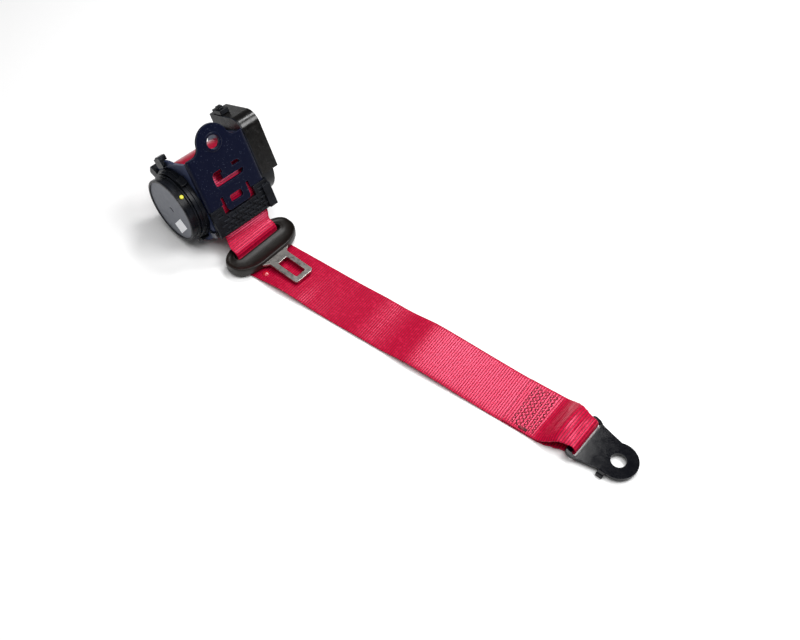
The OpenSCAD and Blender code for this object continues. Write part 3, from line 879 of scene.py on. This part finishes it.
@dataclass
class Reel:
    """The turning reel: shaft, ratchet, clutch and the wound belt."""

    body: str = "reel"
    core_r: float = 13.1
    roll_r: float = 33.9
    pitch: float = 1.24
    turn_steps: int = 72
    columns: int = 8
    selvedge: float = 0.45

    def dress(self) -> None:
        """Gives each turning part its finish."""
        for node, finish in {
            "spool": CAST_ZINC,
            "torsion_bar": ZINC,
            "webbing_pin": ZINC,
            "ratchet_wheel": OILED_SPRING,
            "clutch_disc": IVORY_ACETAL,
            "spring_arbor": IVORY_ACETAL,
            "inertia_ring": BRASS,
        }.items():
            dress_node(node, finish, 0.15)

    def build_roll(self, retractor: Retractor, belt: "Belt") -> bpy.types.Object:
        """Winds the belt into a spiral on the spool, ending where it leaves for the guide.

        Args:
            retractor: Where the reel's axis is.
            belt: The belt's sizes and finish.

        Returns:
            The wound belt.
        """
        turns = (self.roll_r - self.core_r - belt.thickness) / self.pitch
        count = round(turns * self.turn_steps)
        columns = self.columns
        points, cloth, faces = [], [], []
        length = 0.0
        for i in range(count + 1):
            turn = i / self.turn_steps
            radius = self.core_r + belt.thickness / 2 + self.pitch * turn
            angle = math.tau * (turn - turns) + math.pi / 2
            outward = retractor.y * math.cos(angle) + retractor.z * math.sin(angle)
            length += math.tau * radius * MM / self.turn_steps
            rows = [(k, 1) for k in range(columns + 1)] + [(k, -1) for k in range(columns, -1, -1)]
            for k, side in rows:
                u = 2 * k / columns - 1
                edge = self.selvedge if abs(u) == 1 else 1.0
                middle = retractor.reel_at + retractor.x * (u * belt.half * MM)
                points.append(middle + outward * ((radius + side * edge * belt.thickness / 2) * MM))
                cloth.append((u * belt.half * MM, length))
        ring = 2 * (columns + 1)
        for i in range(count):
            for k in range(ring):
                a, b = i * ring + k, i * ring + (k + 1) % ring
                faces.append((a, a + ring, b + ring, b))
        for base in (0, count * ring):
            for k in range(columns):
                faces.append((base + k, base + k + 1, base + ring - 2 - k, base + ring - 1 - k))
        roll = new_piece("wound_webbing", points, faces, belt.finish, cloth)
        tidy_normals(roll)
        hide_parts("webbing_roll")
        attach(roll, self.body)
        return roll


@dataclass
class Tongue:
    """The sliding tongue: a plated blade in a grained grip."""

    body: str = "tongue"
    blade_reach: float = 55.0
    blade_mid: float = 5.4
    front: float = 19.0
    rear: float = -15.0
    half_w: float = 37.0
    front_corner: tuple[float, float] = (17.0, 25.0)
    rear_corner: tuple[float, float] = (13.0, 21.0)
    slot_front: float = -1.0
    slot_rear: float = -7.0
    slot_half: float = 26.0
    slot_corner: tuple[float, float] = (2.6, 2.6)
    recess: float = 2.4
    recess_half: float = 29.0
    recess_x: tuple[float, float] = (-6.0, -2.0)

    def __post_init__(self) -> None:
        """Finds the tongue's placement from its blade's mount."""
        blade = mount_of("latch_blade")
        self.x = Vector(blade["axis"])
        self.y = UP.cross(self.x)
        origin = Vector(blade["pos_m"]) - self.x * (self.blade_reach * MM) - UP * (self.blade_mid * MM)
        self.place = axes_at(origin, self.x, self.y, UP)

    def at(self, x: float, y: float, z: float) -> Vector:
        """A place in millimetres along the blade, across it and up from the grip's underside."""
        return self.place @ Vector((x * MM, y * MM, z * MM))

    def outline(
        self, x0: float, x1: float, half: float, rear: tuple[float, float], front: tuple[float, float]
    ) -> list[tuple[float, float]]:
        """A box with elliptic corners, as points that match another such outline one by one.

        Args:
            x0: The rear edge.
            x1: The front edge.
            half: Half the width.
            rear: How far the rear corners reach along and across.
            front: How far the front corners reach along and across.

        Returns:
            Points from the front's far corner, anticlockwise.
        """
        arc, straight = 16, (8, 26)
        corners = [(x1 - front[0], half - front[1], front, 0), (x0 + rear[0], half - rear[1], rear, 90)]
        corners += [(x0 + rear[0], rear[1] - half, rear, 180), (x1 - front[0], front[1] - half, front, 270)]
        found: list[tuple[float, float]] = []
        for number, (cx, cy, reach, start) in enumerate(corners):
            after_x, after_y, after_reach, _ = corners[(number + 1) % 4]
            for k in range(arc + 1):
                turn = math.radians(start + 90 * k / arc)
                found.append((cx + reach[0] * math.cos(turn), cy + reach[1] * math.sin(turn)))
            turn = math.radians(start + 90)
            begin = found[-1]
            finish = (after_x + after_reach[0] * math.cos(turn), after_y + after_reach[1] * math.sin(turn))
            count = straight[number % 2]
            for k in range(1, count):
                found.append(tuple(b + (f - b) * k / count for b, f in zip(begin, finish)))
        return found

    def build_grip(self) -> bpy.types.Object:
        """Lofts the grip: a lip round the belt slot, a shallow dish, a raised rim and the outer wall.

        Returns:
            The grip.
        """
        outer = self.outline(self.rear, self.front, self.half_w, self.rear_corner, self.front_corner)
        inner = self.outline(
            self.slot_rear, self.slot_front, self.slot_half, self.slot_corner, self.slot_corner
        )
        # Share of the way from slot to outer edge, and height: the lip, the dish, the rim, the underside.
        section = [
            (0.0, 4.6), (0.0, 6.4), (0.015, 7.7), (0.06, 8.5), (0.12, 8.7), (0.18, 8.4), (0.25, 7.8),
            (0.36, 7.4), (0.5, 7.3), (0.64, 7.5), (0.76, 8.1), (0.85, 8.9), (0.91, 9.4), (0.95, 9.3),
            (0.98, 8.4), (1.0, 7.0), (1.0, 4.8), (1.0, 2.8), (0.99, 1.2), (0.965, 0.4), (0.92, 0.05),
            (0.8, 0.0), (0.5, 0.0), (0.2, 0.0), (0.05, 0.0), (0.0, 0.9), (0.0, 2.8),
        ]
        points = []
        for share, height in section:
            for (ix, iy), (ox, oy) in zip(inner, outer):
                x, y = ix + (ox - ix) * share, iy + (oy - iy) * share
                under = self.recess * smooth_step(abs(y), self.recess_half + 2, self.recess_half)
                under *= smooth_step(x, *self.recess_x)
                points.append(self.at(x, y, max(height, under)))
        ring, rows = len(inner), len(section)
        faces = [
            (a * ring + k, a * ring + (k + 1) % ring, b * ring + (k + 1) % ring, b * ring + k)
            for a, b in ((row, (row + 1) % rows) for row in range(rows))
            for k in range(ring)
        ]
        grip = new_piece("tongue_grip", points, faces, GRAINED_GRIP)
        tidy_normals(grip)
        smooth = grip.modifiers.new("smooth", "SUBSURF")
        smooth.levels = smooth.render_levels = 1
        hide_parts("tongue_cover")
        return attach(grip, self.body)

    def dress(self) -> None:
        """Plates the blade."""
        dress_node("tongue_plate", SATIN_NICKEL, 0.3)


@dataclass
class Anchor:
    """The pressed anchor plate at the belt's sewn end."""

    body: str = "anchor"
    reach: float = 66.0
    lift: float = 2.6
    thickness: float = 3.0
    round_r: float = 16.0
    hole_r: float = 6.2
    bend_x: float = -27.0
    bend_deg: float = 20.0
    bend_r: float = 4.5
    shoulder: float = 19.6
    end_x: float = -37.6
    end_half: float = 21.1
    end_r: float = 3.4
    slot_x: tuple[float, float] = (-32.6, -28.0)
    slot_half: float = 18.5
    bar_x: float = 31.9
    bar_z: float = 6.78
    bend_cuts: int = 6
    tab_x: tuple[float, float] = (-8.2, -2.2)
    tab_from: float = 12.6
    tab_half: float = 1.2

    def __post_init__(self) -> None:
        """Finds the plate's placement from its bolt hole and swivel."""
        bolt = mount_of("anchor_bolt")
        self.y = -Vector(joint_of("anchor_swivel")["axis"])
        self.x = self.y.cross(UP)
        hole = Vector(bolt["pos_m"])
        self.place = axes_at(Vector((hole.x, hole.y, self.lift * MM)), self.x, self.y, UP)
        self.loop_at = Vector((hole.x, hole.y, 0.0)) - self.x * (self.reach * MM)

    def outline(self) -> list[tuple[float, float]]:
        """Draws the flat blank's edge, anticlockwise from the round end.

        Returns:
            Its points, in millimetres from the bolt hole.
        """
        found = [
            (self.round_r * math.cos(math.radians(a)), self.round_r * math.sin(math.radians(a)))
            for a in range(-112, 113, 8)
        ]
        upper = [(self.bend_x + 3, self.shoulder - 0.8), (self.bend_x - 1, self.shoulder + 0.5)]
        upper += [(self.bend_x - 3.5, self.end_half)]
        corner = [
            (
                self.end_x + self.end_r * (1 - math.sin(math.radians(a))),
                self.end_half - self.end_r * (1 - math.cos(math.radians(a))),
            )
            for a in range(0, 91, 15)
        ]
        side = upper + corner
        return found + side + [(x, -y) for x, y in reversed(side)]

    def slot(self) -> list[tuple[float, float]]:
        """Draws the belt slot's edge, with fully round ends.

        Returns:
            Its points, in millimetres from the bolt hole.
        """
        x0, x1 = self.slot_x
        r, mid = (x1 - x0) / 2, (x0 + x1) / 2
        found = []
        for side in (1, -1):
            for k in range(13):
                turn = math.radians(15 * k) + (0 if side == 1 else math.pi)
                y = side * (self.slot_half - r) + r * math.sin(turn)
                found.append((mid + r * math.cos(turn), y))
        return found

    def bent(self, x: float, y: float, z: float) -> Vector:
        """Bends a point of the flat blank upward past the bend line, round a smooth radius.

        Args:
            x: Along the blank, in millimetres from the bolt hole.
            y: Across it.
            z: Up from its underside.

        Returns:
            The bent point's place.
        """
        angle = math.radians(self.bend_deg)
        arc = angle * self.bend_r
        past = self.bend_x + arc / 2 - x
        if past <= 0:
            return self.place @ Vector((x * MM, y * MM, z * MM))
        start = self.bend_x + arc / 2
        turn = min(past, arc) / self.bend_r
        radius = self.bend_r - z
        px = start - radius * math.sin(turn)
        pz = self.bend_r - radius * math.cos(turn)
        if past > arc:
            px -= (past - arc) * math.cos(angle)
            pz += (past - arc) * math.sin(angle)
        return self.place @ Vector((px * MM, y * MM, pz * MM))

    def build(self) -> bpy.types.Object:
        """Cuts the blank, bends it and rounds its edges.

        Returns:
            The plate.
        """
        turns = [math.tau * k / 48 for k in range(48)]
        circle = [(self.hole_r * math.cos(turn), self.hole_r * math.sin(turn)) for turn in turns]
        plate = flat_blank("pressed_anchor_plate", [self.outline(), circle, self.slot()], self.thickness)
        work = bmesh.new()
        work.from_mesh(plate.data)
        arc = math.radians(self.bend_deg) * self.bend_r
        for k in range(self.bend_cuts + 1):
            x = self.bend_x + arc / 2 - arc * k / self.bend_cuts
            everything = work.verts[:] + work.edges[:] + work.faces[:]
            bmesh.ops.bisect_plane(work, geom=everything, plane_co=(x * MM, 0, 0), plane_no=(1, 0, 0))
        for vertex in work.verts:
            vertex.co = self.bent(vertex.co.x / MM, vertex.co.y / MM, vertex.co.z / MM)
        work.to_mesh(plate.data)
        work.free()
        finish_blank(plate, BLACK_ELECTROCOAT)
        soften_edges(plate, 0.55, 3)
        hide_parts("anchor_plate")
        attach(plate, self.body)
        return plate

    def build_tab(self) -> bpy.types.Object:
        """Bends down the small tab at the plate's near side, which stops it turning on its bolt.

        Returns:
            The tab.
        """
        path = [(0.0, 1.5), (-3.0, 1.5), (-5.0, 1.2), (-6.2, 0.2), (-6.7, -1.4)]
        x0, x1 = self.tab_x
        points, faces = [], []
        for along, height in path:
            for x, side in ((x0, 1), (x1, 1), (x1, -1), (x0, -1)):
                z = height + side * self.tab_half
                points.append(self.place @ Vector((x * MM, (along - self.tab_from) * MM, z * MM)))
        for k in range(len(path) - 1):
            for s in range(4):
                a, b = 4 * k + s, 4 * k + (s + 1) % 4
                faces.append((a, b, b + 4, a + 4))
        faces += [(3, 2, 1, 0), tuple(4 * (len(path) - 1) + s for s in range(4))]
        tab = new_piece("anchor_stop_tab", points, faces, BLACK_ELECTROCOAT)
        tidy_normals(tab)
        soften_edges(tab, 0.6, 3)
        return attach(tab, self.body)


@dataclass
class Belt:
    """The woven belt from the reel, through the tongue and along the table, to its sewn loop."""

    body: str = "retractor_and_belt"
    half: float = 24.0
    thickness: float = 1.15
    rib_pitch: float = 2.1
    rib_height: float = 0.01
    tail_from_loop: float = -27.0
    joined_at: float = -12.0
    guide_z: float = -5.7
    eased_over: float = 64.0
    bar_turn_r: float = 5.1
    gathered_half: float = 16.4
    finish: Finish = CRIMSON_WEBBING

    def feed_keys(self, retractor: Retractor, tongue: Tongue) -> list[Station]:
        """Stations from the wound belt, down the guide and into the tongue's slot.

        Args:
            retractor: Gives places up the front plate and off its face.
            tongue: Gives places along the blade and up from the grip's underside.

        Returns:
            The stations.
        """
        down = [(4.8, -3.75), (-4.0, -4.3), (-14.0, -5.3)]
        down += [(-26.5, self.guide_z), (-30.0, self.guide_z + 0.3)]
        keys = [Station(retractor.at(0, y, z), retractor.x, self.half) for y, z in down]
        over = [(-12.0, 13.1), (-7.2, 11.3), (-4.5, 8.6), (-3.6, 5.2)]
        keys += [Station(tongue.at(x, 0, z), tongue.y, self.half) for x, z in over]
        return keys

    def lap_keys(self, belt_y: float, start_x: float, end_x: float) -> list[Station]:
        """Stations along the table: a low twist by the tongue, then a long gentle rise.

        Args:
            belt_y: The belt's middle line.
            start_x: Where it comes out of the tongue's slot.
            end_x: Where it ends under the sewn tail.

        Returns:
            The stations.
        """
        flat = self.thickness / 2
        # Distance from the slot, height of the far edge over the table, and twist in degrees.
        rows = [
            (1.6, 1.5, 0.0), (5.0, 0.35, 0.0), (12.0, 0.05, 0.0), (24.0, 0.2, 1.2), (36.0, 0.3, 3.2),
            (48.0, 0.3, 4.4), (62.0, 0.25, 3.6), (78.0, 0.1, 1.8), (98.0, 0.1, 0.5), (112.0, 0.5, 0.0),
            (126.0, 1.0, 0.0), (136.0, 0.9, 0.0), (146.0, 0.7, 0.0), (157.0, 1.1, 0.0), (169.0, 2.6, 0.0),
            (178.0, 3.5, 0.0), (189.0, 3.5, 0.0), (210.0, 2.6, 0.0), (234.0, 1.3, 0.0), (256.0, 0.35, 0.0),
            (266.0, 0.05, 0.0), (276.0, 0.02, 0.0),
        ]
        keys = []
        for along, lift, twist_deg in rows:
            twist = math.radians(twist_deg)
            raised = self.half * math.sin(twist)
            middle = Vector((start_x + along * MM, belt_y, (flat + lift + raised) * MM))
            keys.append(Station(middle, Vector((0, math.cos(twist), -math.sin(twist))), self.half))
        keys.append(Station(Vector((end_x, belt_y, (flat + 0.02) * MM)), Vector((0, 1, 0)), self.half))
        return keys

    def loop_keys(self, anchor: Anchor) -> list[Station]:
        """Stations under the sewn tail, round the anchor's bar and back over to the tail's cut end.

        Args:
            anchor: Gives the bar's place and the directions along and across the plate.

        Returns:
            The stations.
        """
        # Distance from the loop's start, height, half width, crown and curl of the near edge.
        lower = [
            (-12.0, 0.6, 24.0, 0, 0), (-4.0, 0.6, 24.0, 0, 0), (5.0, 0.62, 23.8, 0, 0),
            (12.0, 0.7, 22.6, 0, 0), (19.0, 0.95, 20.2, 0, 0), (26.0, 1.5, 17.8, 0, 0),
        ]
        round_bar = []
        for degrees in range(0, 181, 30):
            turn = math.radians(degrees)
            x = anchor.bar_x + self.bar_turn_r * math.sin(turn)
            z = anchor.bar_z - self.bar_turn_r * math.cos(turn)
            round_bar.append((x, z, self.gathered_half, 0, 0))
        upper = [
            (28.0, 11.9, 17.4, -1.2, 1), (24.0, 12.6, 18.6, -2.0, 4), (19.5, 12.0, 20.2, -2.2, 7),
            (15.0, 9.3, 21.8, -1.4, 9), (10.5, 5.9, 23.1, -0.5, 6), (6.0, 3.2, 23.8, 0, 2),
            (1.5, 1.98, 24.0, 0, 0), (-5.0, 1.82, 23.8, 0, 0), (-14.0, 1.82, 23.6, 0, 0),
            (-22.0, 1.86, 23.5, 0, 0), (self.tail_from_loop, 2.0, 23.4, 0, 0),
        ]
        keys = []
        for x, z, half, crown, curl in lower + round_bar + upper:
            turned = anchor.x if x > 0 else Vector((1, 0, 0))
            across = anchor.y if x > 0 else Vector((0, 1, 0))
            middle = anchor.loop_at + turned * (x * MM) + UP * (z * MM)
            keys.append(Station(middle, across, half, crown, curl))
        return keys

    def follow_tongue(self, piece: bpy.types.Object) -> bpy.types.Object:
        """Bakes a piece's placement into its mesh.

        Args:
            piece: The piece, with no parent.

        Returns:
            The same piece.
        """
        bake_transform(piece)
        return piece

    def build(self, retractor: Retractor, tongue: Tongue, anchor: Anchor) -> list[bpy.types.Object]:
        """Builds the three stretches of belt, which meet inside the slot and under the sewn tail.

        Args:
            retractor: Where the belt leaves the reel.
            tongue: Where it passes through the slot.
            anchor: Where it loops round the bar.

        Returns:
            The feed, lap and loop stretches.
        """
        feed = self.feed_keys(retractor, tongue)
        split = feed[-1].middle.copy()
        belt_y = anchor.loop_at.y
        start = tongue.at(-3.0, 0, 0).x
        end = anchor.loop_at.x + self.joined_at * MM
        keys = feed + self.lap_keys(belt_y, start, end)
        whole = Ribbon(keys, self.thickness, self.rib_pitch, self.rib_height)
        cut = whole.nearest(split)
        last = len(whole.stations) - 1
        feed_piece = whole.build("webbing_from_reel", self.finish, 0, cut)
        lap_piece = whole.build("webbing_across_lap", self.finish, cut, last)
        loop = Ribbon(self.loop_keys(anchor), self.thickness, self.rib_pitch, self.rib_height)
        loop_piece = loop.build("webbing_end_loop", self.finish)
        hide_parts("webbing_feed")
        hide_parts("webbing_lap")
        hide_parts("webbing_loop")
        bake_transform(feed_piece)
        self.follow_tongue(lap_piece)
        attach(loop_piece, self.body)
        return [feed_piece, lap_piece, loop_piece]


@dataclass
class Stitching:
    """The sewn block: zigzag rows that run to and fro across the belt in one thread."""

    body: str = "retractor_and_belt"
    rows: int = 6
    first_x: float = -20.0
    row_pitch: float = 3.7
    near_y: float = -20.5
    far_y: float = 19.5
    wave: float = 4.2
    swing: float = 0.95
    thread_r: float = 0.42
    top: float = 2.55
    dip: float = 0.42
    tacks: int = 4
    tack_from: float = 7.0
    tack_l: float = 7.5

    def route(self) -> list[tuple[float, float, float]]:
        """Lays the thread to and fro, row by row.

        Returns:
            Its points, in millimetres from the loop's start.
        """
        points: list[tuple[float, float, float]] = []
        per_row = 10 * round((self.far_y - self.near_y) / self.wave)
        for row in range(self.rows):
            x = self.first_x + row * self.row_pitch
            for k in range(per_row + 1):
                share = k / per_row if row % 2 == 0 else 1 - k / per_row
                y = self.near_y + (self.far_y - self.near_y) * share
                swing = self.swing * math.sin(math.tau * (y - self.near_y) / self.wave)
                dip = self.dip * abs(math.cos(math.tau * (y - self.near_y) / self.wave)) ** 6
                points.append((x + swing, y, self.top - dip))
        return points

    def build(self, anchor: Anchor) -> bpy.types.Object:
        """Sweeps the thread along its route, with the bar-tack at its start.

        Args:
            anchor: Gives the place where the loop starts.

        Returns:
            The stitching.
        """
        origin = anchor.loop_at
        lines = [[origin + Vector((x * MM, y * MM, z * MM)) for x, y, z in self.route()]]
        start = self.first_x + self.tack_from
        for k in range(self.tacks):
            y = self.near_y - 1.4 + 0.55 * k
            tack = [(start + self.tack_l * s / 8, y + 0.25 * (s % 2), self.top + 0.06) for s in range(9)]
            lines.append([origin + Vector((x * MM, q * MM, z * MM)) for x, q, z in tack])
        points: list[Vector] = []
        faces: list[tuple[int, ...]] = []
        for line in lines:
            add_thread(points, faces, line, self.thread_r * MM)
        piece = new_piece("sewn_stitching", points, faces, MAROON_THREAD)
        tidy_normals(piece)
        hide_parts("stitching")
        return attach(piece, self.body)


@dataclass
class StopButton:
    """The two-part button that keeps the tongue from sliding down the belt."""

    radius: float = 3.5
    height: float = 1.7

    def build(self, belt: Belt, tongue: Tongue) -> bpy.types.Object:
        """Turns the button's low dome, with its riveted middle, on the belt's raised edge.

        Args:
            belt: The belt, whose follow_tongue bakes the button's placement into its mesh.
            tongue: Not used.

        Returns:
            The button.
        """
        low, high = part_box("stop_button")
        middle = Vector(((low.x + high.x) / 2, (low.y + high.y) / 2, low.z + 0.75 * MM))
        profile = [(0.0, self.height + 0.25), (0.7, self.height + 0.2), (1.0, self.height - 0.15)]
        profile += [(1.3, self.height - 0.2), (2.3, self.height - 0.45), (3.1, 0.75), (self.radius, 0.2)]
        profile += [(self.radius - 0.1, -0.4), (0.0, -0.4)]
        place = axes_at(middle, Vector((1, 0, 0)), Vector((0, 1, 0)), UP)
        button = turned_piece("stop_button_dome", profile, place, RED_BUTTON)
        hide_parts("stop_button", "stop_stud")
        return belt.follow_tongue(button)


# ---- Shared builders -------------------------------------------------------------------


def dress_node(node: str, finish: Finish, rounding: float) -> None:
    """Gives a kept node its finish, and soft edges if it has a rounding.

    Args:
        node: The node's name.
        finish: What it is made of.
        rounding: Width of its edge rounding, in millimetres.
    """
    piece = frame["nodes"][node]
    piece.data.materials.clear()
    piece.data.materials.append(finish.material())
    if rounding > 0:
        soften_edges(piece, rounding)
    log.info("dressed %s in %s", node, finish.name)


def tidy_normals(piece: bpy.types.Object) -> None:
    """Turns every face of a closed piece outward.

    Args:
        piece: The piece.
    """
    work = bmesh.new()
    work.from_mesh(piece.data)
    bmesh.ops.recalc_face_normals(work, faces=work.faces)
    work.to_mesh(piece.data)
    work.free()


def turned_piece(
    name: str, profile: Sequence[tuple[float, float]], place: Matrix, finish: Finish, count: int = 48
) -> bpy.types.Object:
    """Turns a profile about the placement's Z axis.

    Args:
        name: The piece's name.
        profile: Radius and height of each point, in millimetres; a closed ring if no radius is zero.
        place: Where it goes.
        finish: What it is made of.
        count: Facets round it.

    Returns:
        The new piece.
    """
    points, faces, rows = [], [], []
    for radius, height in profile:
        if radius == 0:
            rows.append([len(points)] * count)
            points.append(place @ Vector((0, 0, height * MM)))
            continue
        rows.append([len(points) + k for k in range(count)])
        for k in range(count):
            turn = math.tau * k / count
            spot = Vector((radius * math.cos(turn), radius * math.sin(turn), height))
            points.append(place @ (spot * MM))
    closed = all(radius > 0 for radius, _ in profile)
    for a, b in zip(rows, rows[1:] + (rows[:1] if closed else [])):
        for k in range(count):
            face = (a[k], a[(k + 1) % count], b[(k + 1) % count], b[k])
            faces.append(tuple(dict.fromkeys(face)))
    piece = new_piece(name, points, faces, finish)
    tidy_normals(piece)
    return piece


def flat_blank(
    name: str, outlines: Sequence[Sequence[tuple[float, float]]], thickness: float
) -> bpy.types.Object:
    """Cuts a flat blank with holes out of sheet.

    Args:
        name: The piece's name.
        outlines: The edge first, then each hole, in millimetres.
        thickness: Thickness in millimetres, upward from Z = 0.

    Returns:
        The blank as a mesh object.
    """
    curve = bpy.data.curves.new(name, "CURVE")
    curve.dimensions = "2D"
    curve.fill_mode = "BOTH"
    curve.extrude = thickness / 2 * MM
    for outline in outlines:
        spline = curve.splines.new("POLY")
        spline.points.add(len(outline) - 1)
        for point, (x, y) in zip(spline.points, outline):
            point.co = (x * MM, y * MM, 0, 1)
        spline.use_cyclic_u = True
    holder = bpy.data.objects.new(name + "_cut", curve)
    bpy.context.scene.collection.objects.link(holder)
    bpy.context.view_layer.update()
    mesh = bpy.data.meshes.new_from_object(holder)
    mesh.transform(Matrix.Translation((0, 0, thickness / 2 * MM)))
    bpy.data.objects.remove(holder)
    bpy.data.curves.remove(curve)
    blank = bpy.data.objects.new(name, mesh)
    bpy.context.scene.collection.objects.link(blank)
    work = bmesh.new()
    work.from_mesh(mesh)
    bmesh.ops.remove_doubles(work, verts=work.verts, dist=WELD_DISTANCE)
    work.to_mesh(mesh)
    work.free()
    return blank


def finish_blank(piece: bpy.types.Object, finish: Finish) -> None:
    """Turns a blank's faces outward and gives it its finish.

    Args:
        piece: The blank.
        finish: What it is made of.
    """
    tidy_normals(piece)
    piece.data.polygons.foreach_set("use_smooth", [True] * len(piece.data.polygons))
    piece.data.materials.clear()
    piece.data.materials.append(finish.material())


def add_thread(
    points: list[Vector],
    faces: list[tuple[int, ...]],
    line: Sequence[Vector],
    radius: float,
    sides: int = 8,
) -> None:
    """Adds a round thread along a line to lists of points and faces.

    Args:
        points: The piece's points so far.
        faces: The piece's faces so far.
        line: The thread's middle line.
        radius: The thread's radius, in metres.
        sides: Facets round it.
    """
    base = len(points)
    for i, middle in enumerate(line):
        onward = (line[min(i + 1, len(line) - 1)] - line[max(i - 1, 0)]).normalized()
        across = onward.cross(UP).normalized()
        upward = across.cross(onward)
        for k in range(sides):
            turn = math.tau * k / sides
            points.append(middle + across * (radius * math.cos(turn)) + upward * (radius * math.sin(turn)))
    for i in range(len(line) - 1):
        for k in range(sides):
            a, b = base + i * sides + k, base + i * sides + (k + 1) % sides
            faces.append((a, b, b + sides, a + sides))
    last = base + (len(line) - 1) * sides
    faces.append(tuple(base + k for k in reversed(range(sides))))
    faces.append(tuple(last + k for k in range(sides)))


# ---- Studio ----------------------------------------------------------------------------


@dataclass
class Studio:
    """A pale floor, soft lamps and the camera."""

    azimuth_deg: float = 35.352
    elevation_deg: float = 53.0
    distance: float = 0.8588
    lens_mm: float = 45.477
    sensor_mm: float = 36.0
    shift: float = 0.0035
    aim: tuple[float, float] = (10.4, -7.6)
    floor_half: float = 3.0
    floor_drop: float = 0.0002
    room_light: float = 0.16

    def add_camera(self) -> bpy.types.Object:
        """Places the camera above and to the front of the belt.

        Returns:
            The camera.
        """
        azimuth, elevation = math.radians(self.azimuth_deg), math.radians(self.elevation_deg)
        forward = Vector(
            (
                -math.sin(azimuth) * math.cos(elevation),
                math.cos(azimuth) * math.cos(elevation),
                -math.sin(elevation),
            )
        )
        lens = bpy.data.cameras.new("studio_camera")
        lens.lens, lens.sensor_width = self.lens_mm, self.sensor_mm
        lens.shift_x = self.shift
        lens.clip_start, lens.clip_end = 0.01, 20.0
        camera = bpy.data.objects.new("studio_camera", lens)
        camera.location = Vector((self.aim[0] * MM, self.aim[1] * MM, 0)) - forward * self.distance
        camera.rotation_euler = (math.pi / 2 - elevation, 0, azimuth)
        bpy.context.scene.collection.objects.link(camera)
        bpy.context.scene.camera = camera
        return camera

    def add_lamp(
        self, name: str, at: tuple[float, float, float], aim: Vector, size: float, watts: float
    ) -> None:
        """Hangs a square soft lamp.

        Args:
            name: The lamp's name.
            at: Where it hangs, in metres.
            aim: What it points at.
            size: Its side, in metres.
            watts: Its power.
        """
        light = bpy.data.lights.new(name, "AREA")
        light.size, light.energy = size, watts
        lamp = bpy.data.objects.new(name, light)
        lamp.location = at
        lamp.rotation_euler = (aim - Vector(at)).to_track_quat("-Z", "Y").to_euler()
        bpy.context.scene.collection.objects.link(lamp)

    def add_room(self) -> None:
        """Adds the pale floor, the even room light and the view's plain colours."""
        world = bpy.data.worlds.new("pale_room")
        world.use_nodes = True
        world.node_tree.nodes["Background"].inputs["Color"].default_value = linear("ffffff")
        world.node_tree.nodes["Background"].inputs["Strength"].default_value = self.room_light
        bpy.context.scene.world = world
        bpy.context.scene.view_settings.view_transform = "Standard"
        signs = ((-1, -1), (1, -1), (1, 1), (-1, 1))
        half = self.floor_half
        corners = [Vector((x * half, y * half, -self.floor_drop)) for x, y in signs]
        paper = MouldedPlastic("matt white paper", "plain_label", "fbfbfb", 0.9, 0.05, "ffffff")
        floor = new_piece("floor", corners, [(0, 1, 2, 3)], paper)

    def build(self) -> None:
        """Hangs an even lamp, one that shines in the belt by the anchor and one in its steep stretch."""
        self.add_room()
        self.add_lamp("overhead_lamp", (0.05, -0.25, 1.5), Vector((0.0, 0.0, 0.0)), 1.1, 12.0)
        self.add_lamp("belt_lamp", (-0.15, 0.61, 1.0), Vector((0.14, -0.02, 0.0)), 0.3, 5.6)
        self.add_lamp("feed_lamp", (0.47, 0.30, 0.87), Vector((-0.15, -0.01, 0.02)), 0.45, 6.5)


# ---- Assembly --------------------------------------------------------------------------


def main() -> None:
    """Builds the studio and each sub-assembly in order, and reports each piece."""
    logging.basicConfig(level=logging.INFO, format="%(name)s: %(message)s")
    studio = Studio()
    studio.add_camera()
    retractor, reel, tongue, anchor, belt = Retractor(), Reel(), Tongue(), Anchor(), Belt()
    retractor.dress()
    reel.dress()
    tongue.dress()
    makers: list[Callable[[], object]] = [
        lambda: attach(retractor.build_collar(), retractor.body),
        lambda: reel.build_roll(retractor, belt),
        tongue.build_grip,
        anchor.build,
        anchor.build_tab,
        lambda: belt.build(retractor, tongue, anchor),
        lambda: Stitching().build(anchor),
        lambda: StopButton().build(belt, tongue),
    ]
    for make in makers:
        made = make()
        for piece in made if isinstance(made, list) else [made]:
            log.info("built %s with %d faces", piece.name, len(piece.data.polygons))
    studio.build()


if __name__ == "__main__":
    main()
